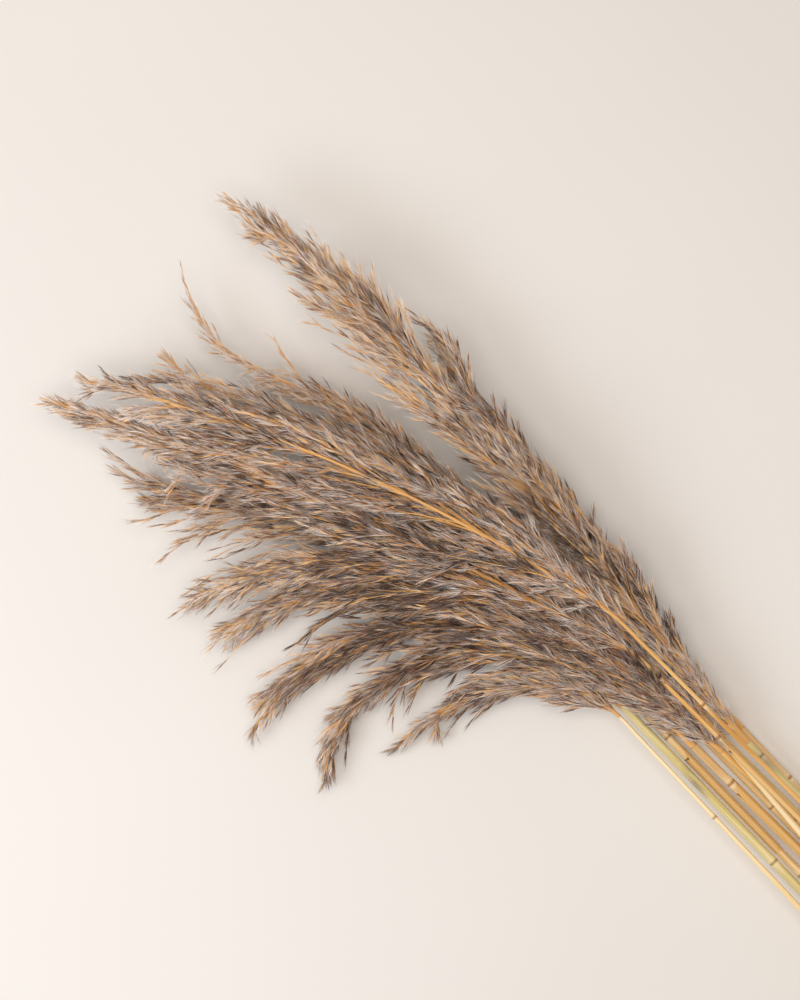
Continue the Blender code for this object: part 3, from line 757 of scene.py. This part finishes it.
class Strands:
    """The faces of one plume: their points, and each corner's tone, kind and place from root to tip."""

    def __init__(self):
        self.points = []
        self.faces = []
        self.maps = []
        self.count = 0

    def add(self, points, faces, tone, kind, along):
        """Points (n, m, 3), faces within one set of m points, a tone for each of n, along for each of m."""
        n, m = points.shape[:2]
        first = self.count + np.arange(n)[:, None, None] * m
        self.points.append(points.reshape(-1, 3))
        self.faces.append((first + np.asarray(faces)[None]).reshape(-1, 3))
        spread = np.linspace(-CORNER_SPREAD, CORNER_SPREAD, m)
        along = np.repeat(np.asarray(along, float)[None, :], n, 0)
        u = TONE_EDGE + (1.0 - 2.0 * TONE_EDGE) * np.clip(tone, 0.0, 1.0)[:, None] + spread[None, :]
        v = (kind + KIND_EDGE + (1.0 - 2.0 * KIND_EDGE) * along) / KINDS
        self.maps.append(np.stack([u, v], -1).reshape(-1, 2))
        self.count += n * m

    def piece(self, name, material):
        """One object of all the strands, none of them in the floor."""
        points = np.vstack(self.points)
        points[:, 2] = np.maximum(points[:, 2], FLOOR_GAP)
        faces = np.vstack(self.faces)
        piece = mesh_object(name, points, faces, material, smooth=False)
        layer = piece.data.uv_layers.new(name="OFBake")
        layer.data.foreach_set("uv", np.vstack(self.maps)[faces.ravel()].astype(np.float32).ravel())
        return piece


def plume_girth(reed, share):
    """Slim at the base, fullest a third of the way up, and pointed at the tip."""
    fuller = MORE_GIRTH.get(REEDS.index(reed) + 1, 1.0)
    return fuller * reed.girth * np.interp(share, PLUME_PLACES, PLUME_GIRTHS)


def tip_taper(index, distances):
    """1 along most of the plume, less in the last stretch to its tip."""
    zone = OTHER_TIP_ZONES.get(index + 1, TIP_ZONE)
    left = np.clip((stalk_lines[index].length - distances) / zone, 0.0, 1.0)
    return TIP_THINNEST + (1.0 - TIP_THINNEST) * left**TIP_EASE


def tube_faces(rings, sides):
    """Three-sided faces of a tube."""
    quads = ring_faces(rings, sides)
    return np.vstack([quads[:, [0, 1, 2]], quads[:, [0, 2, 3]]])


def thin_tubes(strands, paths, radii, sides, tone):
    """Tapered twigs along the paths (n, k, 3), with radii (n, k)."""
    n, k = paths.shape[:2]
    ahead = unit(np.gradient(paths, axis=1))
    side = unit(np.cross(ahead, ASKEW))
    top = np.cross(ahead, side)
    turns = 2.0 * math.pi * np.arange(sides) / sides
    outward = np.cos(turns)[:, None] * side[:, :, None] + np.sin(turns)[:, None] * top[:, :, None]
    points = paths[:, :, None] + radii[:, :, None, None] * outward
    along = np.repeat(np.linspace(0.0, 1.0, k), sides)
    strands.add(points.reshape(n, -1, 3), tube_faces(k, sides), tone, TWIG, along)


def tilted(draws, ahead, leans, share=1.0):
    """Directions that lean away from the given ones, all round, by a share of angles in this range."""
    random = draws.normal(size=ahead.shape)
    aside = unit(random - (random * ahead).sum(-1, keepdims=True) * ahead)
    angle = (np.radians(draws.uniform(*leans, ahead.shape[:-1])) * share)[..., None]
    return np.cos(angle) * ahead + np.sin(angle) * aside


def read_path(paths, places):
    """Points and directions at places from 0 to 1 along each of the paths (n, k, 3)."""
    n, k = paths.shape[:2]
    scaled = np.clip(places, 0.0, 1.0) * (k - 1)
    low = np.minimum(scaled.astype(int), k - 2)
    part = (scaled - low)[..., None]
    row = np.arange(n)[:, None]
    start, end = paths[row, low], paths[row, low + 1]
    return start + (end - start) * part, unit(end - start)


def nearest(points, others):
    """How far each of the points (n, k, 3) is from the nearest of the others."""
    return np.sqrt(((points[:, :, None] - others) ** 2).sum(-1)).min(-1)


def lay_out_branches(reed, index, draws):
    """For each branch, whether it is in the base tuft, its start, length and turn, and its reach out."""
    line = stalk_lines[index]
    tuft = BASE_BRANCHES if index + 1 in BASE_TUFTS else 0
    count = int(line.length * BRANCHES_PER_MM) + tuft
    basal = np.arange(count) < tuft
    pair = np.arange(count) // BRANCH_PAIR
    share = LAST_BRANCH * np.linspace(0.0, 1.0, count - tuft) ** BRANCH_CROWDING
    share = np.concatenate([draws.uniform(0.0, BASE_REACH / line.length, tuft), share])
    whorl = np.round(share * line.length / WHORL_SPACING) * WHORL_SPACING
    start = np.clip(whorl + draws.normal(0.0, WHORL_SCATTER, count), 0.0, line.length * LAST_BRANCH)

    longest = BRANCH_LONG * min(1.0, reed.length / FULL_STALK)
    length = longest * draws.uniform(*LENGTHS, count)[pair]
    length = np.minimum(length, (line.length - start) * draws.uniform(*SHARES_OF_REST, count)[pair])
    length = np.maximum(length * draws.uniform(*LENGTHS_IN_PAIR, count), SHORTEST_BRANCH)
    length = np.where(basal, draws.uniform(*BASE_LENGTHS, count), length)

    turn = pair * GOLDEN_ANGLE + draws.uniform(*PAIR_TURNS, count)[pair] + draws.uniform(*OWN_TURNS, count)
    turn = turn % (2.0 * math.pi)
    if index + 1 in STALK_ON_TOP:
        aside = 0.5 * (math.pi + OPEN_TOP) + turn * (1.0 - 0.5 * OPEN_TOP / math.pi)
        turn = np.where(share < OPEN_SHARE, aside, turn)

    spread = draws.uniform(*SPREADS, count) ** SPREAD_EASE
    spread = spread * np.where(draws.uniform(size=count) < LOOSE_SHARE, LOOSE_SPREAD, 1.0)
    full = tip_taper(index, start + length)
    girth = plume_girth(reed, (start + length) / line.length)
    room = np.maximum(girth * full**ROOM_EASE - SPIKELET_REACH * full, LEAST_REACH)
    return basal, start, length, turn, room * spread[pair] * draws.uniform(*SPREADS_IN_PAIR, count)


def reach_kept(index, middle, reach_out, over_stems):
    """The share of its reach that each branch can have, clear of the other stalks and of the stems."""
    stalk = stalk_lines[index].points
    others = np.vstack([s.points[:-1:3] for k, s in enumerate(stalk_lines) if k != index])
    stems = np.vstack([s.points[-STEM_POINTS_TESTED:-1] for s in stem_lines])
    kept = np.full(len(reach_out), LEAST_REACH_KEPT)
    for tried in REACHES_TRIED:
        tested = (middle + tried * reach_out)[:, FIRST_POINT_TESTED:]
        off_stalks = nearest(tested, others) - nearest(tested, stalk) > -NEARER_OTHER_STALK
        clear = (off_stalks & (nearest(tested, stems) > over_stems)).all(-1)
        kept = np.where(clear & (kept < tried), tried, kept)
    return kept[:, None, None]


def stray_branches(line, number):
    """Paths of the plume's single branches, and how far up its stalk they start if they lay close."""
    t = np.linspace(0.0, 1.0, BRANCH_POINTS)[:, None]
    left = THIN_STRAY_LEFT if number in THIN_STRAYS else STRAY_LEFT
    paths, starts = [], []
    for share, *tip in STRAYS[number]:
        root, tip = line.at(line.length * share), np.array(tip) - WAIST_TO_MIDDLE
        length = np.linalg.norm(tip - root)
        bend = root + line.ahead(line.length * share) * 0.5 * length
        paths.append(root * (1.0 - t) ** 2 + 2.0 * bend * t * (1.0 - t) + tip * t**2)
        starts.append(line.length - left - length)
    return paths, starts


def build_branches(reed, index, draws):
    """Paths of all the plume's branches, their lengths, and how far up the stalk they start."""
    line = stalk_lines[index]
    basal, start, length, turn, reach = lay_out_branches(reed, index, draws)
    t = np.linspace(0.0, 1.0, BRANCH_POINTS)
    distances = start[:, None] + length[:, None] * t[None, :]
    middle = line.at(distances)
    left, up = line.across(distances)
    outward = np.cos(turn)[:, None, None] * left + np.sin(turn)[:, None, None] * up
    outward = outward * np.sin(0.5 * math.pi * t)[None, :, None] ** BRANCH_HUG
    reach_out = reach[:, None, None] * outward
    over_stems = np.where(basal, BASE_OVER_STEMS, OVER_STEMS)[:, None]
    reach_out = reach_kept(index, middle, reach_out, over_stems) * reach_out
    wander = draws.normal(0.0, WANDER, (len(start), 1, 3)) * np.sin(math.pi * t)[None, :, None]
    sag = SAG * draws.uniform(0.0, 1.0, len(start)) ** 2 * length / BRANCH_LONG
    hanging = -picture_up * sag[:, None, None] * (t**2)[None, :, None]

    strays, stray_starts = stray_branches(line, index + 1)
    paths = np.concatenate([middle + reach_out + wander + hanging, strays])
    length = np.linalg.norm(np.diff(paths, axis=1), axis=-1).sum(axis=1)
    paths[:, :, 2] = np.maximum(paths[:, :, 2], FLOOR_GAP + 1.0 * t)
    return paths, length, np.concatenate([start, stray_starts])


def build_plume(reed, index):
    """All strands of one plume: its stalk, branches, branchlets and spikelets."""
    draws = np.random.default_rng(PLUME_SEED + index)
    strands = Strands()
    line = stalk_lines[index]
    gold = MORE_GOLD.get(index + 1, 0.0)
    stations = np.linspace(0.0, line.length, STALK_STATIONS)
    stalk_radii = (top_width(reed) / 2.0, *STALK_RADII_ABOVE)
    stalk_radius = np.interp(stations / line.length, STALK_PLACES, stalk_radii)
    thin_tubes(strands, line.at(stations)[None], stalk_radius[None], STALK_SIDES, np.array([STALK_TONE]))

    paths, length, start = build_branches(reed, index, draws)
    count = len(paths)
    share = start / line.length
    taper = np.linspace(1.0, BRANCH_TAPER, BRANCH_POINTS)
    radius = (BRANCH_RADIUS + MORE_RADIUS_BELOW * (1.0 - share))[:, None] * taper[None, :]
    thin_tubes(strands, paths, radius, TWIG_SIDES, draws.uniform(*BRANCH_TONES, count))

    low_down = start < BASE_REACH
    lighter = np.clip(draws.normal(0.0, BRANCH_SCATTER, count), BRANCH_DARKEST, BRANCH_LIGHTEST)
    # Painted light: each plume is lighter toward its tip, toward the side lamp.
    lighter = lighter + PAINTED_LIGHT_UP_PLUME * (share - PAINTED_LIGHT_FROM)
    lighter = np.where(low_down, np.maximum(lighter, 0.0), lighter)
    steps = (np.arange(BRANCHLETS) + 0.5) / BRANCHLETS
    bare = np.where(draws.uniform(size=count) < LONG_BARE_SHARE, LONG_BARE, BRANCH_BARE)
    bare = np.where(low_down, 0.0, bare)[:, None]
    places = bare + (1.0 - bare) * steps + draws.uniform(*BRANCHLET_PLACES, (count, BRANCHLETS))
    roots, ahead = read_path(paths, places)
    full = tip_taper(index, start[:, None] + length[:, None] * places)
    opened = LEAN_AT_TIP + (1.0 - LEAN_AT_TIP) * full
    ahead = tilted(draws, ahead, BRANCHLET_LEANS, opened)
    reach = BRANCHLET_LONG + (BRANCHLET_SHORT - BRANCHLET_LONG) * steps
    reach = reach * np.sqrt(length / BRANCH_LONG)[:, None] * draws.uniform(*BRANCHLET_LENGTHS, places.shape)
    reach = np.minimum(reach, BRANCHLET_LONG * full)
    bend = draws.normal(0.0, BRANCHLET_BEND, (*places.shape, 3))
    t = np.linspace(0.0, 1.0, len(BRANCHLET_RADII))
    run = ahead[:, :, None] * t[:, None] + bend[:, :, None] * t[:, None] ** 2
    twigs = (roots[:, :, None] + reach[:, :, None, None] * run).reshape(-1, len(t), 3)
    radius = np.repeat(np.array([BRANCHLET_RADII]), len(twigs), 0)
    thin_tubes(strands, twigs, radius, TWIG_SIDES, draws.uniform(*BRANCHLET_TONES, len(twigs)) + gold)

    spots = (np.arange(SPIKELETS) + FIRST_SPIKELET) / SPIKELETS
    spots = spots[None, :] + draws.uniform(*SPIKELET_PLACES, (len(twigs), SPIKELETS))
    roots, ahead = read_path(twigs, spots)
    loose = np.repeat((opened * (1.0 - CLOSED_AT_TIP * places**2)).ravel(), SPIKELETS)
    ahead = tilted(draws, ahead.reshape(-1, 3), SPIKELET_LEANS, loose)
    # Branch tips are painted silvery, as painted light through the fringe. The base tuft's silver and each
    # plume's own silver are its colour.
    silver_and_painted_light = PAINTED_LIGHT_AT_TIP * places**2 + MORE_SILVER.get(index + 1, 0.0)
    silver_and_painted_light = silver_and_painted_light + SILVER_AT_BASE * np.exp(-np.abs(start) / BASE_TUFT)[:, None]
    silver_and_painted_light = np.repeat(silver_and_painted_light.ravel(), SPIKELETS)
    lighter = np.repeat(lighter, BRANCHLETS * SPIKELETS)
    full = np.repeat(full.ravel(), SPIKELETS)
    crowd = np.repeat(np.tile(np.clip(KEPT_FROM - steps, KEPT_LEAST, 1.0), count), SPIKELETS)
    kept = draws.uniform(size=len(full)) < crowd * (KEPT_AT_TIP + (1.0 - KEPT_AT_TIP) * full)
    tones = {"lighter": lighter[kept], "silver_and_painted_light": silver_and_painted_light[kept], "gold": gold}
    add_spikelets(strands, draws, roots.reshape(-1, 3)[kept], ahead[kept], full[kept], loose[kept], **tones)
    return strands


def blades(roots, ahead, long, wide, draws):
    """Three-cornered blades (n, 3, 3) from their roots, each turned its own way about its length."""
    side = unit(np.cross(ahead, draws.normal(size=ahead.shape))) * wide * 0.5
    return np.stack([roots - side, roots + side, roots + ahead * long], -2).reshape(-1, 3, 3)


def add_spikelets(strands, draws, roots, ahead, full, loose, lighter, silver_and_painted_light, gold):
    """Husks, an awn and hairs at each root, smaller near the plume's tip and more open where loose."""
    n = len(roots)
    size = draws.uniform(*SPIKELET_SIZES, n) * (SIZE_AT_TIP + (1.0 - SIZE_AT_TIP) * full)
    lighter = lighter + draws.normal(0.0, SPIKELET_SCATTER, n)

    lean_out = tilted(draws, np.repeat(ahead[:, None], HUSKS, 1), HUSK_LEANS, loose[:, None])
    start = roots[:, None] + ahead[:, None] * (np.arange(HUSKS) * HUSK_STEP * size[:, None])[..., None]
    side = unit(np.cross(lean_out, draws.normal(size=lean_out.shape)))
    long = (HUSK_LENGTH * size[:, None] * draws.uniform(*HUSK_LENGTHS, (n, HUSKS)))[..., None]
    wide = 0.5 * HUSK_WIDTH * size[:, None, None]
    belly = start + lean_out * long * HUSK_BELLY
    points = np.stack([start, belly - side * wide, start + lean_out * long, belly + side * wide], 2)
    tone = (draws.normal(HUSK_TONE, TONE_SCATTER, (n, HUSKS)) + lighter[:, None] + gold).ravel()
    strands.add(points.reshape(-1, 4, 3), [(0, 1, 2), (0, 2, 3)], tone, HUSK, (0.0, HUSK_BELLY, 1.0, 0.45))

    long = (AWN_LENGTH * size * draws.uniform(*AWN_LENGTHS, n))[:, None]
    awns = blades(roots, tilted(draws, ahead, AWN_LEANS, loose), long, AWN_WIDTH, draws)
    strands.add(awns, [(0, 1, 2)], draws.uniform(*AWN_TONES, n) + gold, TWIG, (0.0, 0.0, 1.0))

    lean_out = tilted(draws, np.repeat(ahead[:, None], HAIRS, 1), HAIR_LEANS, loose[:, None])
    start = roots[:, None] + ahead[:, None] * draws.uniform(*HAIR_ROOTS, (n, HAIRS))[..., None]
    long = (HAIR_LENGTH * size[:, None] * draws.uniform(*HAIR_LENGTHS, (n, HAIRS)))[..., None]
    hairs = blades(start, lean_out, long, HAIR_WIDTH, draws)
    tone = (draws.normal(HAIR_TONE, TONE_SCATTER, (n, HAIRS)) + (lighter + silver_and_painted_light)[:, None]).ravel()
    strands.add(hairs, [(0, 1, 2)], tone, HAIR, (0.0, 0.1, 1.0))


# Dried reed flower: matt papery husks from dark brown to gold, silky hairs from taupe to silver, and
# satin golden twigs. Husks and hairs are darker at their roots, partly their own colour and partly painted
# shade of the plume's dense inside. Each strand carries its tone and kind in its map, so the colour has no
# seams.
STRAND_TONES = {
    "twig": ((0.0, "A06E3C"), (0.5, "D59C58"), (1.0, "F3C983")),
    "husk_root_with_painted_shade": ((0.0, "1E120C"), (0.4, "80523A"), (0.7, "C68E58"), (1.0, "F0C07A")),
    "husk_tip": ((0.0, "644232"), (0.4, "B07C56"), (0.7, "E2AC70"), (1.0, "FCDEA8")),
    "hair_root_with_painted_shade": ((0.0, "1E1512"), (0.5, "806E62"), (1.0, "D8CEC6")),
    "hair_tip": ((0.0, "54453F"), (0.5, "BFB1AA"), (1.0, "FFFAF6")),
}
plume_fibre, tree, shader = new_material(
    "dried_reed_flower",
    {"Roughness": 0.6, "IOR": 1.45, "Specular IOR Level": 0.35, "Sheen Weight": 0.25, "Sheen Roughness": 0.5},
)
strand_map = add_node(tree, "ShaderNodeUVMap", uv_map="OFBake").outputs["UV"]
tone, kinds, _ = add_node(tree, "ShaderNodeSeparateXYZ", [("Vector", strand_map)]).outputs
kinds = add_node(tree, "ShaderNodeMath", [(0, kinds), (1, KINDS)], operation="MULTIPLY").outputs["Value"]
along = add_node(tree, "ShaderNodeMath", [(0, kinds)], operation="FRACT").outputs["Value"]
colours = {}
for name, stops in STRAND_TONES.items():
    colours[name] = add_node(tree, "ShaderNodeValToRGB", [("Fac", tone)], stops).outputs["Color"]
# Roots are darker than tips: partly their own colour, partly painted shade deep in the plume.
husks = lay_over(tree, colours["husk_root_with_painted_shade"], colours["husk_tip"], along, 0.3, 0.9)
hairs = lay_over(tree, colours["hair_root_with_painted_shade"], colours["hair_tip"], along, 0.1, 0.7)
# Twigs lie from 0 to 1, husks from 1 to 2 and hairs from 2 to 3, with a bare edge at each end.
half_edge = 0.5 * KIND_EDGE
strand_colour = lay_over(tree, colours["twig"], husks, kinds, HUSK - half_edge, HUSK + half_edge)
strand_colour = lay_over(tree, strand_colour, hairs, kinds, HAIR - half_edge, HAIR + half_edge)
tree.links.new(strand_colour, shader.inputs["Base Color"])

for index, reed in enumerate(REEDS):
    number = f"{index + 1:02d}"
    plume = build_plume(reed, index).piece(f"reed_plume_{number}", plume_fibre)
    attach(plume, "root")
    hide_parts(f"plume_{number}")


# Twine tie
# Two-ply jute twine, wound three times round the stems and knotted on top, with two frayed ends. It
# presses flat where the bundle lies on it. The photo's edge cuts it off.
TWINE_SEED = 7
TWINE_TURNS = 3
POINTS_PER_TURN = 90
TURN_SPACING = 2.05
PLY_RADIUS = 0.56
PLY_LAY = 5.5
PLY_SIDES = 6
PLY_APART = 0.8
PLY_END_LENGTH = 1.5
PLY_END_THIN = 0.25
TWINE_STEP = 0.9
TWINE_OVER_FLOOR = 0.05
TAUT_LEAST = 0.1
KNOT_SIZE = (1.15, 1.3, 1.0)
KNOT_STEPS = 60
TWINE_ENDS = ((0.0, 0.0, 0.4), (5.0, 3.0, 1.4), (13.0, 6.0, 1.8), (22.0, 8.0, 0.8))
FUZZ_PER_MM = 1.6
FUZZ_LENGTH = 2.2
FUZZ_LENGTHS = (0.4, 1.0)
FUZZ_WIDTH = 0.07
FUZZ_ROOT = 0.7
FUZZ_LEANS = (20.0, 75.0)
FRAY_STRANDS = 26
FRAY_LENGTH = 4.0
FRAY_LENGTHS = (0.5, 1.0)
FRAY_LEANS = (2.0, 22.0)


def tie_outline(angles):
    """The tie's middle, and how far a taut string round the stems is from it at these angles."""
    centres = np.array([tie_point(reed) for reed in REEDS])
    middle = centres.mean(axis=0)
    pulls = np.radians(np.arange(360))
    held = ((centres - middle)[:, 1:] @ np.stack([np.cos(pulls), np.sin(pulls)])).max(axis=0)
    held += STEM_WIDTH / 2.0 + TWINE_CLEARANCE
    facing = np.maximum(np.cos(angles[:, None] - pulls[None, :]), TAUT_LEAST)
    return middle - WAIST_TO_MIDDLE, (held / facing).min(axis=1)


def even_steps(points, step):
    """The path with points that far apart."""
    line = Line(np.asarray(points, float), past_end=1.0)
    return line.at(np.linspace(0.0, line.length, max(4, int(line.length / step))))


def twine_paths():
    """Middle lines of the twine: its turns, its knot and its two ends."""
    angles = np.linspace(0.5 * math.pi, (0.5 + 2.0 * TWINE_TURNS) * math.pi, POINTS_PER_TURN * TWINE_TURNS)
    middle, reach = tie_outline(angles)
    reach = reach + 0.5 * TWINE_WIDTH
    along = TURN_SPACING * (np.linspace(0.0, TWINE_TURNS, len(angles)) - 0.5 * TWINE_TURNS)
    height = np.maximum(middle[2] + reach * np.sin(angles), 2.0 * PLY_RADIUS + TWINE_OVER_FLOOR)
    turns = np.stack([middle[0] + along, middle[1] + reach * np.cos(angles), height], -1)
    top = np.array([middle[0], middle[1], middle[2] + reach[0] + 0.5 * TWINE_WIDTH])
    t = np.linspace(0.0, 2.0 * math.pi, KNOT_STEPS)
    overhand = (np.sin(t) + 2.0 * np.sin(2.0 * t), np.cos(t) - 2.0 * np.cos(2.0 * t), -np.sin(3.0 * t))
    paths = [turns, top + np.stack(overhand, -1) * KNOT_SIZE]
    for side in (1.0, -1.0):
        bends = [top + np.array(bend) * (side, side, 1.0) for bend in TWINE_ENDS]
        paths.append(smooth_path(bends, 8))
    return [even_steps(path, TWINE_STEP) for path in paths]


def ply_mesh(path, turned):
    """One ply of the twine, which winds about the twine's middle line."""
    ahead = unit(np.gradient(path, axis=0))
    side = unit(np.cross(ahead, np.array([0.21, 0.17, 0.96])))
    top = np.cross(ahead, side)
    far = np.concatenate([[0.0], np.cumsum(np.linalg.norm(np.diff(path, axis=0), axis=1))])
    lay = (turned + 2.0 * math.pi * far / PLY_LAY)[:, None]
    middle = path + PLY_APART * PLY_RADIUS * (np.cos(lay) * side + np.sin(lay) * top)
    turns = 2.0 * math.pi * np.arange(PLY_SIDES) / PLY_SIDES
    outward = np.cos(turns)[:, None] * side[:, None] + np.sin(turns)[:, None] * top[:, None]
    taper = np.minimum(1.0, PLY_END_THIN + np.minimum(far, far[-1] - far) / PLY_END_LENGTH)
    return middle[:, None] + PLY_RADIUS * taper[:, None, None] * outward, far


def build_twine():
    """Both plies of each stretch of twine, with the fuzz on them and the frayed ends."""
    draws = np.random.default_rng(TWINE_SEED)
    verts, faces, fibre = [], [], []
    count = 0
    paths = twine_paths()
    for path in paths:
        for turned in (0.0, math.pi):
            points, far = ply_mesh(path, turned)
            faces.append(count + tube_faces(len(points), PLY_SIDES))
            verts.append(points.reshape(-1, 3))
            round_ply, far = np.meshgrid(np.arange(PLY_SIDES), far)
            own_ply = np.full(far.shape, turned)
            fibre.append(np.stack([round_ply, far, own_ply], -1).reshape(-1, 3))
            count += far.size
    for path in paths:
        far = np.linalg.norm(np.diff(path, axis=0), axis=1).sum()
        spots, ahead = read_path(path[None], draws.uniform(0.0, 1.0, (1, int(far * FUZZ_PER_MM))))
        fuzz_ahead = tilted(draws, ahead[0], FUZZ_LEANS)
        long = FUZZ_LENGTH * draws.uniform(*FUZZ_LENGTHS, len(fuzz_ahead))[:, None]
        hairs = blades(spots[0] + fuzz_ahead * FUZZ_ROOT, fuzz_ahead, long, FUZZ_WIDTH, draws)
        verts.append(hairs.reshape(-1, 3))
    for path in paths[2:]:
        ahead = tilted(draws, np.repeat(unit(path[-1] - path[-3])[None], FRAY_STRANDS, 0), FRAY_LEANS)
        long = FRAY_LENGTH * draws.uniform(*FRAY_LENGTHS, FRAY_STRANDS)[:, None]
        frayed = blades(np.repeat(path[-1:], FRAY_STRANDS, 0), ahead, long, 2.0 * FUZZ_WIDTH, draws)
        verts.append(frayed.reshape(-1, 3))
    loose = sum(len(v) for v in verts) - count
    faces.append(count + np.arange(loose).reshape(-1, 3))
    fibre.append(0.5 + np.repeat(draws.uniform(0.0, 9.0, (loose // 3, 3)), 3, 0))
    points = np.vstack(verts)
    points[:, 2] = np.maximum(points[:, 2], TWINE_OVER_FLOOR)
    twine = mesh_object("jute_tie", points, np.vstack(faces), jute)
    give(twine, "fibre", np.vstack(fibre))
    return twine


# Jute: dull golden brown bast fibre that catches the light in fine pale lines along each ply.
FIBRE_WIDTH = 0.55
FIBRE_RELIEF = 0.3
jute, tree, shader = new_material("jute_twine", {"Roughness": 0.85, "IOR": 1.45, "Specular IOR Level": 0.3})
place = add_node(tree, "ShaderNodeAttribute", attribute_name="fibre").outputs["Vector"]
lines = long_grain(tree, place, FIBRE_WIDTH, 1.0, 4.0)
patches = long_grain(tree, place, 30.0, 30.0, 2.0)
jute_tones = [(0.3, "8A6840"), (0.5, "B79262"), (0.72, "DCC094")]
jute_colour = add_node(tree, "ShaderNodeValToRGB", [("Fac", lines)], jute_tones).outputs["Color"]
jute_colour = lay_over(tree, jute_colour, srgb("A5814F"), patches, 0.4, 0.7, 0.4)
tree.links.new(jute_colour, shader.inputs["Base Color"])
links = [("Height", lines), ("Strength", 0.5), ("Distance", FIBRE_RELIEF * MM)]
relief = add_node(tree, "ShaderNodeBump", links)
tree.links.new(relief.outputs["Normal"], shader.inputs["Normal"])

twine = build_twine()
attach(twine, "root")
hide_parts("twine_tie")
